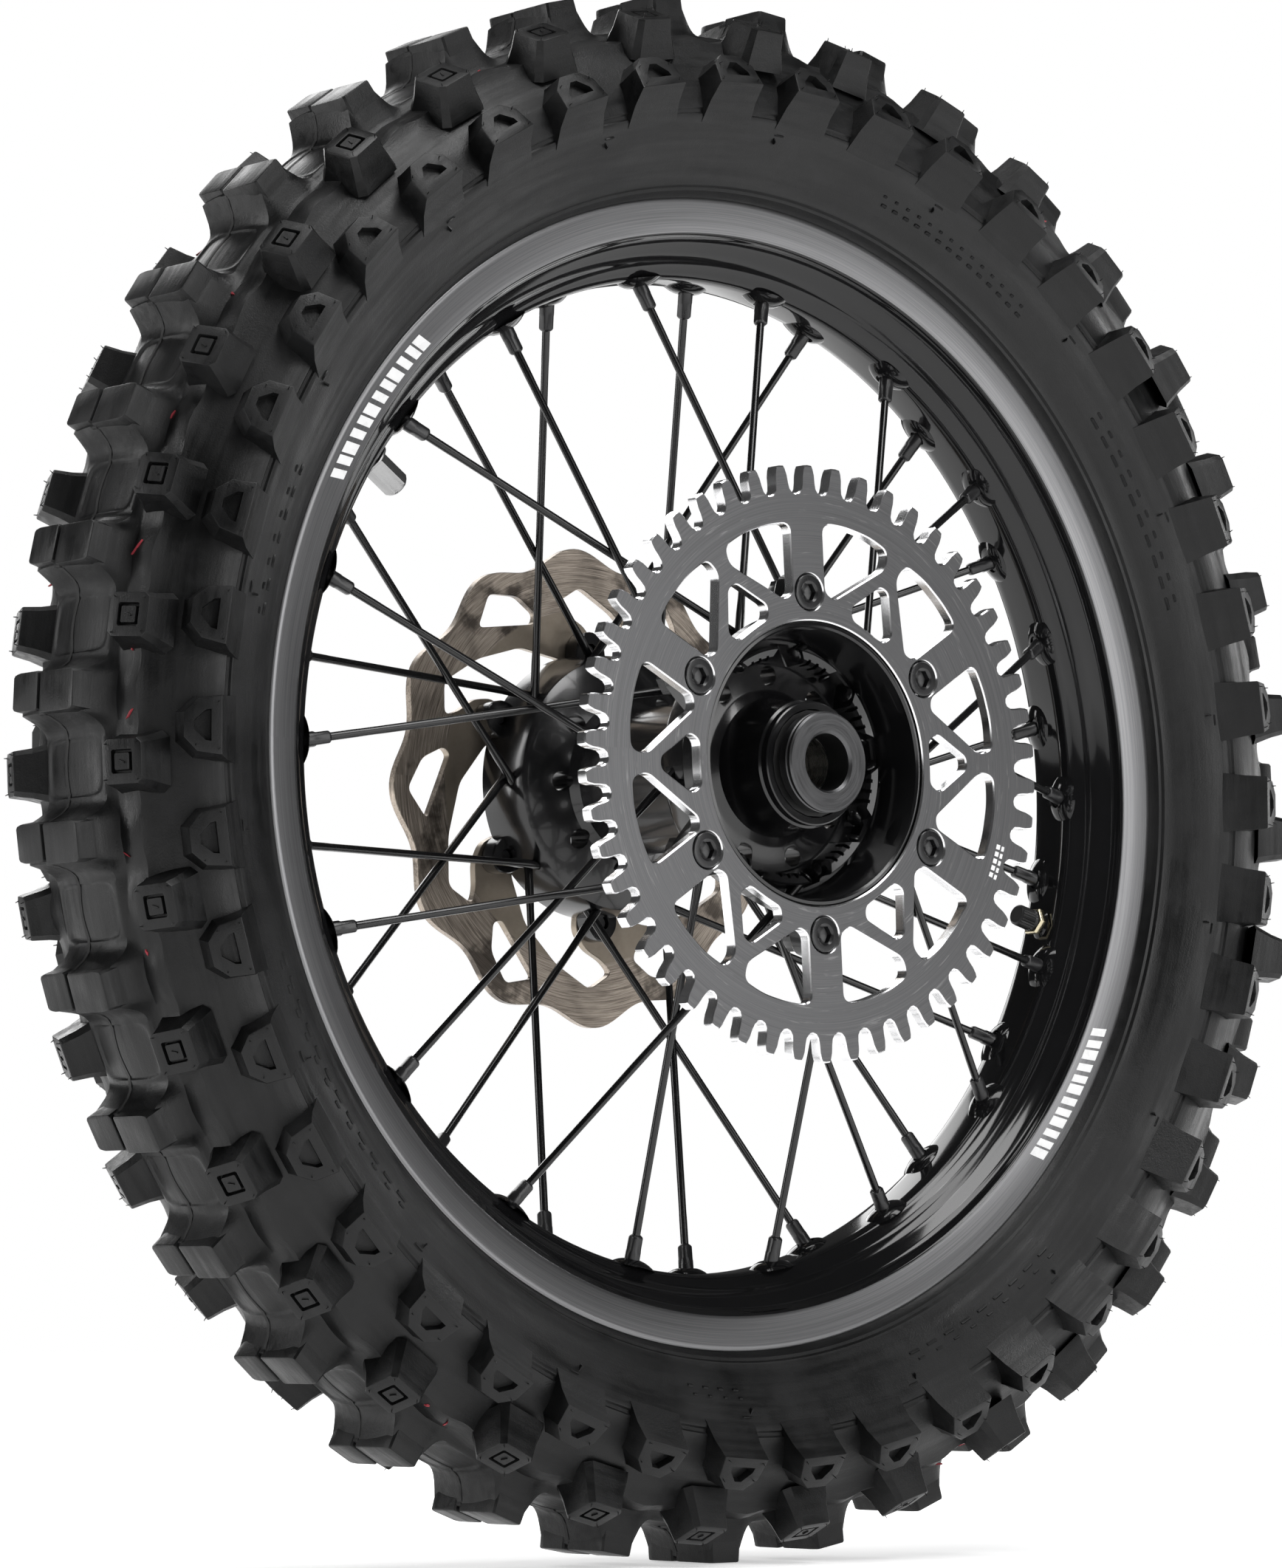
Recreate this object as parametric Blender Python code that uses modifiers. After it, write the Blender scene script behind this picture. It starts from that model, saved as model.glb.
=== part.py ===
"""Rear wheel of an off-road motorcycle, built as its separate pieces.

Frame: the wheel's centre is the origin, +Z is up and the wheel turns about the Y axis. The sprocket
is on the -Y side and the brake disc on the +Y side. Lengths below are in millimetres and every
mesh is scaled to metres when it is made.
"""

import math

import bmesh
import bpy
from mathutils import Matrix, Vector

MM = 0.001
GAP = 0.3  # clearance kept between pieces that touch

# Rim, 19 x 2.15 inch
RIM_RADIUS = 256.0
RIM_BED = 222.0  # inner surface, where the nipples come through
RIM_BED_OUT = 227.0
SEAT_RADIUS = 242.0
SPOKE_STAGGER = 6.5  # half of the zigzag between the two rows of spoke holes

# Tyre, 120/80-19
TREAD_RADIUS = 349.0
GROOVE_RADIUS = 330.0
TYRE_HALF = 56.0
KNOB_PITCHES = 35
KNOB_PITCH = 360 / KNOB_PITCHES
SHOULDER_KNOBS = 42
TREAD_PHASE = 193.0

# Spokes: nine leading and nine trailing on each side
PAIRS_PER_SIDE = 9
PAIR_STEP = 360 / PAIRS_PER_SIDE
SPOKE_SIDES = 5
SPOKE_SHANK = 2.0
SPOKE_BUTT = 1.8
NIPPLE_RADIUS = 3.4
NIPPLE_LENGTH = 14.0
SPOKE_HEAD = 3.7
HUB_SEAT = 51.0
CROSS_SPREAD = 2.4  # half the axial distance between crossing spokes at the hub

# Axle stack
AXLE_BORE = 12.6
BEARING_OUT = 23.5
BEARING_WIDTH = 12.0
BALL_CIRCLE = 18.0
BALL_RADIUS = 3.55
BALLS = 9
LEFT_BEARING = -72.0
RIGHT_BEARING = 70.0
LEFT_END = -92.8
RIGHT_END = 91.5

# Sprocket, 50 teeth, 520 chain
TEETH = 50
TIP_RADIUS = 130.9
SPROCKET_BORE = 62.5
SPROCKET_FACE = -85.3
SPROCKET_THICKNESS = 6.0
SPROCKET_BOLTS = 75.0
BOLT_PHASE = 33.3
TOOTH_PHASE = 2.2

# Brake disc
DISC_FACE = 75.6
DISC_THICKNESS = 4.0
DISC_CREST = 110.0
DISC_WAVES = 12
DISC_BOLTS = 62.3

# Valve and rim lock sit between two spoke holes
VALVE_ANGLE = 345.0
LOCK_ANGLE = 145.0

TURN_TO_AXLE = Matrix.Rotation(math.radians(-90), 4, "X")  # local Z to world +Y
CORNER_TO_X = Matrix.Rotation(math.radians(-90), 4, "Z")
FLAT_TO_FACE = Matrix.Rotation(math.radians(90), 4, "X")  # local XY to world XZ


def polar(radius, degrees):
    """A point of a plane, from its radius and its angle."""
    angle = math.radians(degrees)
    return radius * math.cos(angle), radius * math.sin(angle)


def on_wheel(radius, degrees, y):
    """A point of the wheel, in millimetres."""
    x, z = polar(radius, degrees)
    return Vector((x, y, z))


def radial_frame(degrees, radius, y=0.0, outward=True):
    """A frame on the wheel whose Z runs along the radius, and whose Y runs along the axle."""
    centre = on_wheel(radius, degrees, y)
    up = on_wheel(1 if outward else -1, degrees, 0)
    side = Vector((0, 1, 0))
    across = side.cross(up)
    basis = Matrix((across, side, up)).transposed().to_4x4()
    return Matrix.Translation(centre * MM) @ basis


def axle_frame(radius, degrees):
    """A frame whose Z runs along the axle, on a circle of the wheel."""
    return Matrix.Translation(on_wheel(radius, degrees, 0) * MM) @ TURN_TO_AXLE


# ---------------------------------------------------------------- scene, materials


def clear_scene():
    for obj in list(bpy.data.objects):
        bpy.data.objects.remove(obj, do_unlink=True)


def collection(name):
    made = bpy.data.collections.new(name)
    bpy.context.scene.collection.children.link(made)
    return made


def material(name, colour, roughness, metallic=0.0):
    made = bpy.data.materials.new(name)
    made.use_nodes = True
    shader = made.node_tree.nodes["Principled BSDF"]
    shader.inputs["Base Color"].default_value = (*colour, 1)
    shader.inputs["Roughness"].default_value = roughness
    shader.inputs["Metallic"].default_value = metallic
    return made


# ---------------------------------------------------------------- making objects


def add_object(name, mesh, look, frame=None, helper=False):
    """Links a mesh as a part, or as a helper that is neither rendered nor built."""
    obj = bpy.data.objects.new(name, mesh)
    (CUTTERS if helper else PARTS).objects.link(obj)
    if frame is not None:
        obj.matrix_world = frame
    if helper:
        obj.hide_render = True
        obj.display_type = "WIRE"
    elif look is not None:
        mesh.materials.append(look)
    return obj


def turned(name, outline, steps, look=None, frame=TURN_TO_AXLE, helper=False):
    """Turns an outline of (radius, height) points about the local Z axis with a Screw modifier.

    An outline that begins and ends on the axis stays open there; any other is closed into a ring.
    """
    area = sum(a[0] * b[1] - b[0] * a[1] for a, b in zip(outline, outline[1:] + outline[:1]))
    points = outline if area < 0 else outline[::-1]
    on_axis = points[0][0] == 0 and points[-1][0] == 0
    count = len(points)
    edges = [(i, (i + 1) % count) for i in range(count - on_axis)]
    mesh = bpy.data.meshes.new(name)
    mesh.from_pydata([(r * MM, 0, z * MM) for r, z in points], edges, [])
    obj = add_object(name, mesh, look, frame, helper)
    screw = obj.modifiers.new("Turn", "SCREW")
    screw.axis = "Z"
    screw.steps = steps
    screw.render_steps = steps
    screw.use_merge_vertices = True
    screw.merge_threshold = 1e-6
    screw.use_smooth_shade = steps >= 16
    return obj


def flat_plate(name, outlines, thickness, y, look):
    """A plate in the wheel's plane: the first outline is its edge and the others are holes."""
    curve = bpy.data.curves.new(name, "CURVE")
    curve.dimensions = "2D"
    curve.fill_mode = "BOTH"
    curve.extrude = thickness / 2 * MM
    for outline in outlines:
        spline = curve.splines.new("POLY")
        spline.points.add(len(outline) - 1)
        for point, (x, z) in zip(spline.points, outline):
            point.co = (x * MM, z * MM, 0, 1)
        spline.use_cyclic_u = True
    guide = bpy.data.objects.new(name + "_outline", curve)
    CUTTERS.objects.link(guide)
    bpy.context.view_layer.update()
    graph = bpy.context.evaluated_depsgraph_get()
    mesh = bpy.data.meshes.new_from_object(guide.evaluated_get(graph))
    bpy.data.objects.remove(guide, do_unlink=True)
    bm = bmesh.new()
    bm.from_mesh(mesh)
    bmesh.ops.remove_doubles(bm, verts=bm.verts, dist=1e-6)
    bmesh.ops.recalc_face_normals(bm, faces=bm.faces)
    bm.to_mesh(mesh)
    bm.free()
    mesh.materials.clear()
    return add_object(name, mesh, look, Matrix.Translation((0, y * MM, 0)) @ FLAT_TO_FACE)


def rod_mesh(name, radius, low, high, sides, far_radius=None):
    """A cylinder or cone along local Z, from low to high, with a corner on +X like a turned one."""
    bm = bmesh.new()
    bmesh.ops.create_cone(
        bm,
        cap_ends=True,
        segments=sides,
        radius1=radius * MM,
        radius2=(radius if far_radius is None else far_radius) * MM,
        depth=(high - low) * MM,
        matrix=Matrix.Translation((0, 0, (low + high) / 2 * MM)) @ CORNER_TO_X,
    )
    mesh = bpy.data.meshes.new(name)
    bm.to_mesh(mesh)
    bm.free()
    return mesh


def block_mesh(name, x, y, z, top_x=1.0, top_y=1.0):
    """A block centred on local X and Y that rises from 0 to z, its top scaled by two factors."""
    bm = bmesh.new()
    bmesh.ops.create_cube(bm, size=1)
    for vert in bm.verts:
        high = vert.co.z > 0
        vert.co.x *= x * MM * (top_x if high else 1)
        vert.co.y *= y * MM * (top_y if high else 1)
        vert.co.z = z * MM if high else 0
    mesh = bpy.data.meshes.new(name)
    bm.to_mesh(mesh)
    bm.free()
    return mesh


def cluster(name, pieces):
    """One helper object that holds a copy of each (mesh, frame) in pieces."""
    bm = bmesh.new()
    for mesh, frame in pieces:
        piece = bmesh.new()
        piece.from_mesh(mesh)
        piece.transform(frame)
        copy = bpy.data.meshes.new(name)
        piece.to_mesh(copy)
        piece.free()
        bm.from_mesh(copy)
        bpy.data.meshes.remove(copy)
    mesh = bpy.data.meshes.new(name)
    bm.to_mesh(mesh)
    bm.free()
    return add_object(name, mesh, None, helper=True)


def combine(obj, helper, operation="DIFFERENCE"):
    change = obj.modifiers.new(operation.title(), "BOOLEAN")
    change.operation = operation
    change.solver = "EXACT"
    change.object = helper
    return obj


# ---------------------------------------------------------------- outlines


def circle(radius, centre, sides):
    return [
        (centre[0] + radius * math.cos(a), centre[1] + radius * math.sin(a))
        for a in (2 * math.pi * i / sides for i in range(sides))
    ]


def rounded(points, radius, segments=2):
    """Replaces each corner of a polygon by a short arc."""
    outline = []
    count = len(points)
    for i, corner in enumerate(points):
        here = Vector(corner)
        before = Vector(points[i - 1]) - here
        after = Vector(points[(i + 1) % count]) - here
        reach = min(radius, before.length * 0.45, after.length * 0.45)
        start = here + before.normalized() * reach
        end = here + after.normalized() * reach
        for j in range(segments + 1):
            t = j / segments
            outline.append(tuple(start * (1 - t) ** 2 + here * 2 * t * (1 - t) + end * t**2))
    return outline


def spread(pattern, phase, times):
    """Repeats a list of (radius, degrees) points around the wheel as one loop of points."""
    step = 360 / times
    return [polar(r, phase + k * step + a) for k in range(times) for r, a in pattern]


# ---------------------------------------------------------------- spokes


def spoke_line(side, leading, index):
    """The seat of a spoke in the hub and its hole in the rim, as two points in millimetres.

    side is -1 for the sprocket side and +1 for the disc side.
    """
    sweep = 41.5 if side < 0 else 38.0
    hub_y = -60.5 if side < 0 else 61.0
    hole = (0.5 if leading else 19.5) if side < 0 else (30.6 if leading else 9.4)
    angle = hole + PAIR_STEP * index
    turn = sweep if leading else -sweep
    out = CROSS_SPREAD if leading == (side < 0) else -CROSS_SPREAD
    seat = on_wheel(HUB_SEAT, angle + turn, hub_y + side * out)
    return seat, on_wheel(RIM_BED, angle, side * SPOKE_STAGGER)


def spoke_frame(seat, hole):
    along = (hole - seat).normalized()
    across = Vector((0, 1, 0)).cross(along).normalized()
    basis = Matrix((across, along.cross(across), along)).transposed().to_4x4()
    return Matrix.Translation(seat * MM) @ basis


def spoke(name, seat, hole, helper):
    """A spoke with its nipple, turned about the line from the hub seat to the rim."""
    length = (hole - seat).length
    nipple = length - NIPPLE_LENGTH
    outline = [
        (0, -3.6),
        (SPOKE_HEAD, -2.6),
        (SPOKE_SHANK, -1.2),
        (SPOKE_BUTT, nipple),
        (NIPPLE_RADIUS, nipple),
        (NIPPLE_RADIUS, length + 4.0),
        (0, length + 4.0),
    ]
    return turned(name, outline, SPOKE_SIDES, BLACK_STEEL, spoke_frame(seat, hole), helper)


def spokes():
    """Each node is one leading and one trailing spoke, which touch where they cross."""
    for side, word in ((-1, "left"), (1, "right")):
        for index in range(PAIRS_PER_SIDE):
            partner = index if side < 0 else index + 1
            first = spoke(f"spoke_pair_{word}_{index + 1}", *spoke_line(side, True, index), False)
            other = spoke(f"trailing_{word}_{index + 1}", *spoke_line(side, False, partner), True)
            combine(first, other, "UNION")


def spoke_lines(leading):
    return [
        spoke_line(side, leading, index) for side in (-1, 1) for index in range(PAIRS_PER_SIDE)
    ]


# ---------------------------------------------------------------- rim, tyre, tube


def rim():
    side = [
        (RIM_BED_OUT, 10),
        (SEAT_RADIUS - 0.5, 19),
        (SEAT_RADIUS - 0.5, 27.4),
        (RIM_RADIUS, 29.5),
        (RIM_RADIUS - 1.5, 31.5),
        (241, 30.5),
        (RIM_BED, 14),
    ]
    outline = side + [(r, -y) for r, y in side[::-1]]
    obj = turned("rim", outline, 36, RIM_BLACK)
    holes = []
    for seat, hole in spoke_lines(True) + spoke_lines(False):
        length = (hole - seat).length
        cutter = rod_mesh("nipple_hole", NIPPLE_RADIUS + 0.4, length - 7, length + 9, SPOKE_SIDES)
        holes.append((cutter, spoke_frame(seat, hole)))
    bore = rod_mesh("stem_hole", 4.6, -10, 12, 8)
    holes += [(bore, radial_frame(angle, RIM_BED)) for angle in (VALVE_ANGLE, LOCK_ANGLE)]
    combine(obj, cluster("rim_holes", holes))


def rim_band():
    obj = turned("rim_band", [(229.2, -9), (230.6, -9), (230.6, 9), (229.2, 9)], 36, RUBBER)
    bore = rod_mesh("band_hole", 4.8, -6, 12, 8)
    holes = [(bore, radial_frame(angle, 229)) for angle in (VALVE_ANGLE, LOCK_ANGLE)]
    combine(obj, cluster("band_holes", holes))


def tyre_outline():
    outside = [
        (SEAT_RADIUS + 0.9, 20.5),
        (SEAT_RADIUS + 0.9, 26.9),
        (257, 28.9),
        (283, 49),
        (303, 51.5),
        (GROOVE_RADIUS, 37),
    ]
    inside = [(323, 31.5), (301, 45), (276, 42), (252, 22)]
    half = inside + outside
    return half + [(r, -y) for r, y in half[::-1]]


def knob_frame(angle, radius, y, lean):
    """A frame on the tread whose Z leans from the radius towards the side by lean degrees."""
    return radial_frame(angle, radius, y) @ Matrix.Rotation(math.radians(-lean), 4, "X")


def tyre():
    """The carcass with its crown blocks, the square knobs between them and the shoulder knobs."""
    turn = Matrix.Rotation(math.radians(-TREAD_PHASE - KNOB_PITCH / 2), 4, "Y")
    obj = turned("tyre", tyre_outline(), KNOB_PITCHES, RUBBER, turn @ TURN_TO_AXLE)
    foot = GROOVE_RADIUS - 4
    crown = block_mesh("crown_block", 20, 48, TREAD_RADIUS - foot, 0.86, 0.94)
    square = block_mesh("square_knob", 24, 23, 15, 0.8, 0.8)
    shoulder = block_mesh("shoulder_knob", 27, 19, 14, 0.8, 0.8)
    knobs = []
    for k in range(KNOB_PITCHES):
        angle = TREAD_PHASE + k * KNOB_PITCH
        knobs.append((crown, radial_frame(angle + KNOB_PITCH / 2, foot)))
        for side in (-1, 1):
            knobs.append((square, knob_frame(angle, 322.4, side * 34.2, side * 25)))
    for k in range(SHOULDER_KNOBS):
        angle = TREAD_PHASE + (k + 0.5) * 360 / SHOULDER_KNOBS
        for side in (-1, 1):
            knobs.append((shoulder, knob_frame(angle, 302, side * 48.4, side * 58)))
    combine(obj, cluster("knobs", knobs), "UNION")


def inner_tube():
    """A torus shell whose hollow opens through the hole for the valve stem."""
    steps = 18
    outside = [(246, -8), (246, 8), (268, 27), (292, 42), (313, 33), (320, 0)]
    outside += [(313, -33), (292, -42), (268, -27)]
    inside = [(r + (2.5 if r < 285 else -2.5), y * 0.92) for r, y in outside]
    obj = turned("inner_tube", outside, steps, RUBBER)
    combine(obj, turned("tube_hollow", inside, steps, helper=True))
    bore = rod_mesh("tube_hole", 4.5, -6, 8, 8)
    combine(obj, cluster("tube_holes", [(bore, radial_frame(VALVE_ANGLE, 241))]))


def valve():
    stem = [(0, 4), (4, 4), (4, 31), (9, 31), (9, 33.5), (4, 33.5), (4, 42), (0, 42)]
    turned("valve_stem", stem, 8, BRASS, radial_frame(VALVE_ANGLE, 206))
    cap = [(0, 0), (4.6, 0), (5.2, 1), (5.2, 10), (4.3, 10), (4.3, 3.6), (0, 3.6)]
    turned("valve_cap", cap, 12, BLACK_PLASTIC, radial_frame(VALVE_ANGLE, 206))


def rim_lock():
    frame = radial_frame(LOCK_ANGLE, 206)
    shoe = add_object("rim_lock", block_mesh("rim_lock", 44, 23, 5.5, 0.9, 1.2), BLACK_PLASTIC)
    shoe.matrix_world = radial_frame(LOCK_ANGLE, 231.8)
    combine(shoe, cluster("lock_stud", [(rod_mesh("lock_stud", 4, 0, 28, 8), frame)]), "UNION")
    washer = [(4.4, 13.7), (8.5, 13.7), (8.5, 14.8), (4.4, 14.8)]
    turned("rim_lock_washer", washer, 12, BRIGHT_STEEL, frame)
    nut = [(0, -4.6), (5, -4.6), (6.2, -3.4), (6.2, 13.4), (4.9, 13.4), (4.9, -0.4), (0, -0.4)]
    turned("rim_lock_nut", nut, 6, BRIGHT_STEEL, frame)


# ---------------------------------------------------------------- hub and axle stack


def hub_outline():
    spigot = SPROCKET_BORE - 2 * GAP
    behind = SPROCKET_FACE + SPROCKET_THICKNESS + GAP
    outside = [
        (BEARING_OUT + GAP, -83),
        (28, -83),
        (28, -52.5),
        (46.5, -52.5),
        (46.5, -67),
        (57, -69.5),
        (60, SPROCKET_FACE + 1),
        (spigot, SPROCKET_FACE + 1),
        (spigot, behind),
        (66, behind),
        (66, -72),
        (58, -67),
        (58, -50),
        (54, -46),
        (33, -40),
        (33, 40),
        (54, 47),
        (58, 51),
        (60, 67),
        (60, DISC_FACE - GAP),
        (48, DISC_FACE - GAP),
        (46.5, 54),
        (28, 54),
        (28, 82),
        (BEARING_OUT + GAP, 82),
    ]
    right_shoulder = RIGHT_BEARING - BEARING_WIDTH / 2 - GAP
    left_shoulder = LEFT_BEARING + BEARING_WIDTH / 2 + GAP
    inside = [
        (BEARING_OUT + GAP, right_shoulder),
        (21, right_shoulder),
        (21, left_shoulder),
        (BEARING_OUT + GAP, left_shoulder),
    ]
    return outside + inside


def hub():
    obj = turned("hub", hub_outline(), 24, HUB_BLACK)
    seat_y = SPROCKET_FACE + SPROCKET_THICKNESS + GAP
    lug = rod_mesh("sprocket_lug", 9.5, seat_y, seat_y + 8, 8)
    bridge = block_mesh("lug_bridge", 17, 8, 14)
    tab = rod_mesh("disc_tab", 9.0, 66.5, DISC_FACE - GAP, 8)
    lugs = []
    for k in range(6):
        angle = BOLT_PHASE + 60 * k
        lugs.append((lug, axle_frame(SPROCKET_BOLTS, angle)))
        lugs.append((tab, axle_frame(DISC_BOLTS, angle)))
    combine(obj, cluster("hub_lugs", lugs), "UNION")
    bridges = [
        (bridge, radial_frame(BOLT_PHASE + 60 * k, 62.8, seat_y + 4.05)) for k in range(6)
    ]
    combine(obj, cluster("lug_bridges", bridges), "UNION")
    combine(obj, cluster("seat_pockets", seat_pockets()))
    bore = rod_mesh("spoke_hole", SPOKE_SHANK + GAP, -3, 15, SPOKE_SIDES)
    for name, leading in (("leading_holes", True), ("trailing_holes", False)):
        holes = [(bore, spoke_frame(*ends)) for ends in spoke_lines(leading)]
        combine(obj, cluster(name, holes))
    combine(obj, cluster("hub_holes", hub_holes()))


def seat_pockets():
    """Pockets inside both cups, whose slanted flanks face the spoke heads squarely."""
    foot, height = 44, 10.5
    slant = math.tan(math.radians(30))
    pockets = []
    for first, half_angle, y in ((10, 8, -62.5), (0, 11.4, 63.3)):
        outward, sideways = polar(HUB_SEAT, half_angle)
        half_width = sideways + GAP + (outward - foot) * slant
        top = 1 - height * slant / half_width
        pocket = block_mesh("seat_pocket", 2 * half_width, 18, height, top)
        for k in range(PAIRS_PER_SIDE):
            pockets.append((pocket, radial_frame(first + PAIR_STEP * k, foot, y)))
    return pockets


def hub_holes():
    """Bolt holes for the sprocket and the disc, and the weight holes of both webs."""
    sprocket_hole = rod_mesh("sprocket_bolt_hole", 4.4, -82, -68, 8)
    disc_hole = rod_mesh("disc_bolt_hole", 3.4, 64, 78, 8)
    left_hole = rod_mesh("left_hole", 4.6, -56, -38, 6)
    right_hole = rod_mesh("right_hole", 4.6, 38, 58, 6)
    circles = [
        (sprocket_hole, SPROCKET_BOLTS, BOLT_PHASE, 6),
        (disc_hole, DISC_BOLTS, BOLT_PHASE, 6),
        (left_hole, 41, 10, PAIRS_PER_SIDE),
        (right_hole, 41, 20, PAIRS_PER_SIDE),
    ]
    return [
        (mesh, axle_frame(radius, phase + 360 / count * k))
        for mesh, radius, phase, count in circles
        for k in range(count)
    ]


def axle_stack():
    """Bearings, seals, spacers and the tube that holds the inner races apart."""
    for word, centre, out, boss, end in (
        ("left", LEFT_BEARING, -1, -83, LEFT_END),
        ("right", RIGHT_BEARING, 1, 82, RIGHT_END),
    ):
        half = BEARING_WIDTH / 2
        groove = 3.4
        outer = [
            (BEARING_OUT, centre - half),
            (BEARING_OUT, centre + half),
            (20.2, centre + half),
            (20.2, centre + groove),
            (22.1, centre + 1.6),
            (22.1, centre - 1.6),
            (20.2, centre - groove),
            (20.2, centre - half),
        ]
        turned(f"bearing_outer_race_{word}", outer, 16, BRIGHT_STEEL)
        inner = [
            (AXLE_BORE, centre - half),
            (15.8, centre - half),
            (15.8, centre - groove),
            (14.1, centre - 1.6),
            (14.1, centre + 1.6),
            (15.8, centre + groove),
            (15.8, centre + half),
            (AXLE_BORE, centre + half),
        ]
        turned(f"bearing_inner_race_{word}", inner, 16, BRIGHT_STEEL)
        ball_cage(word, centre)
        race = centre + out * (half + GAP)
        face = boss - out * 0.2
        lip = [(19, race), (BEARING_OUT, race), (BEARING_OUT, face), (19, face)]
        turned(f"bearing_seal_{word}", lip, 18, RUBBER)
        collar = end - out * 8.5
        spacer = [
            (AXLE_BORE, race),
            (18.4, race),
            (18.4, collar),
            (22.1, collar),
            (22.1, end),
            (AXLE_BORE, end),
        ]
        turned(f"axle_spacer_{word}", spacer, 24, BLACK_ALLOY)
    low = LEFT_BEARING + BEARING_WIDTH / 2 + GAP
    high = RIGHT_BEARING - BEARING_WIDTH / 2 - GAP
    tube = [(AXLE_BORE, low), (15.5, low), (15.5, high), (AXLE_BORE, high)]
    turned("distance_tube", tube, 18, BRIGHT_STEEL)


def ball_cage(word, centre):
    """The cage ring with its balls, which run together between the two races."""
    ring = [(17.2, centre - 4), (18.8, centre - 4), (18.8, centre + 4), (17.2, centre + 4)]
    obj = turned(f"ball_cage_{word}", ring, 18, BRIGHT_STEEL)
    bm = bmesh.new()
    bmesh.ops.create_icosphere(bm, subdivisions=1, radius=BALL_RADIUS * MM)
    ball = bpy.data.meshes.new("ball")
    bm.to_mesh(ball)
    bm.free()
    balls = [
        (ball, radial_frame(k * 360 / BALLS, BALL_CIRCLE, centre)) for k in range(BALLS)
    ]
    combine(obj, cluster(f"balls_{word}", balls), "UNION")


# ---------------------------------------------------------------- sprocket and disc


def sprocket():
    step = 360 / TEETH
    gap = [(TIP_RADIUS, -2.9), (121.6, -1.2), (121.6, 1.2), (TIP_RADIUS, 2.9)]
    edge = [
        polar(r, TOOTH_PHASE + k * step + a) for k in range(TEETH) for r, a in gap
    ]
    outlines = [edge, circle(SPROCKET_BORE, (0, 0), 36)]
    big = [(106, 5.2), (107, 16), (105, 27), (97, 27.6), (73, 9.2)]
    small = [(67.4, 20), (67.4, 40), (90, 30)]
    for k in range(6):
        bolt = BOLT_PHASE + 60 * k
        for way in (1, -1):
            outlines.append(rounded([polar(r, bolt + way * a) for r, a in big], 5, 1))
        outlines.append(rounded([polar(r, bolt + a) for r, a in small], 4, 2))
        outlines.append(circle(4.4, polar(SPROCKET_BOLTS, bolt), 8))
    middle = SPROCKET_FACE + SPROCKET_THICKNESS / 2
    obj = flat_plate("sprocket", outlines, SPROCKET_THICKNESS, middle, BRIGHT_ALLOY)
    sink = rod_mesh("countersink", 9.5, SPROCKET_FACE - 1, SPROCKET_FACE + 4.1, 6, 4.4)
    sinks = []
    for k in range(6):
        sinks.append((sink, axle_frame(SPROCKET_BOLTS, BOLT_PHASE + 60 * k)))
    combine(obj, cluster("countersinks", sinks))


def sprocket_fasteners():
    """Countersunk bolts from outside, each with a hexagon nut behind the hub's lug."""
    face = SPROCKET_FACE
    back = face + SPROCKET_THICKNESS + GAP + 8 + GAP
    bolt = [
        (0, face + 0.2),
        (7.9, face + 0.2),
        (4.0, face + 4.1),
        (4.0, back + 9),
        (0, back + 9),
    ]
    nut = [(4.3, back), (7.5, back), (7.5, back + 7), (4.3, back + 7)]
    for k in range(6):
        frame = axle_frame(SPROCKET_BOLTS, BOLT_PHASE + 60 * k)
        turned(f"sprocket_bolt_{k + 1}", bolt, 6, BLACK_STEEL, frame)
        turned(f"sprocket_nut_{k + 1}", nut, 6, BLACK_STEEL, frame)


def brake_disc():
    waves = []
    for i in range(DISC_WAVES * 6):
        turn = i * 360 / (DISC_WAVES * 6)
        lift = (1 + math.cos(math.radians(DISC_WAVES * turn))) / 2
        waves.append(polar(102.6 + (DISC_CREST - 102.6) * lift, BOLT_PHASE + turn))
    arm = [(55, -8), (55, 8), (60, 11), (72.5, 28), (83, 45), (92.3, 58.5), (86, 67.3)]
    arm += [(80, 64.5), (74, 57), (66, 52)]
    outlines = [waves, spread(arm, BOLT_PHASE, 6)]
    window = [(102, 30), (93, 38.5), (79, 19), (83, 17), (94, 21.5)]
    for k in range(6):
        tab = BOLT_PHASE + 60 * k
        outlines.append(rounded([polar(r, tab + a) for r, a in window], 3, 1))
        outlines.append(circle(3.4, polar(DISC_BOLTS, tab), 8))
    flat_plate("brake_disc", outlines, DISC_THICKNESS, DISC_FACE + DISC_THICKNESS / 2, DISC_STEEL)


def disc_bolts():
    back = DISC_FACE + DISC_THICKNESS + GAP
    outline = [(0, back + 3.6), (5.6, back + 3.6), (5.6, back), (3, back), (3, 67.5), (0, 67.5)]
    for k in range(6):
        frame = axle_frame(DISC_BOLTS, BOLT_PHASE + 60 * k)
        turned(f"disc_bolt_{k + 1}", outline, 8, BLACK_STEEL, frame)


clear_scene()
PARTS = collection("spoked_wheel")
CUTTERS = collection("cutters")

RUBBER = material("tyre_rubber", (0.025, 0.025, 0.026), 0.7)
RIM_BLACK = material("rim_black", (0.012, 0.012, 0.013), 0.25, 0.4)
HUB_BLACK = material("hub_black", (0.012, 0.012, 0.013), 0.35, 0.5)
BLACK_STEEL = material("black_steel", (0.02, 0.02, 0.02), 0.35, 0.7)
BLACK_ALLOY = material("dark_alloy", (0.12, 0.12, 0.12), 0.4, 0.8)
BRIGHT_ALLOY = material("bright_alloy", (0.6, 0.6, 0.6), 0.35, 1.0)
BRIGHT_STEEL = material("bright_steel", (0.62, 0.6, 0.57), 0.3, 1.0)
DISC_STEEL = material("disc_steel", (0.4, 0.35, 0.31), 0.4, 1.0)
BLACK_PLASTIC = material("black_plastic", (0.02, 0.02, 0.02), 0.5)
BRASS = material("brass", (0.75, 0.6, 0.35), 0.3, 1.0)

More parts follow.
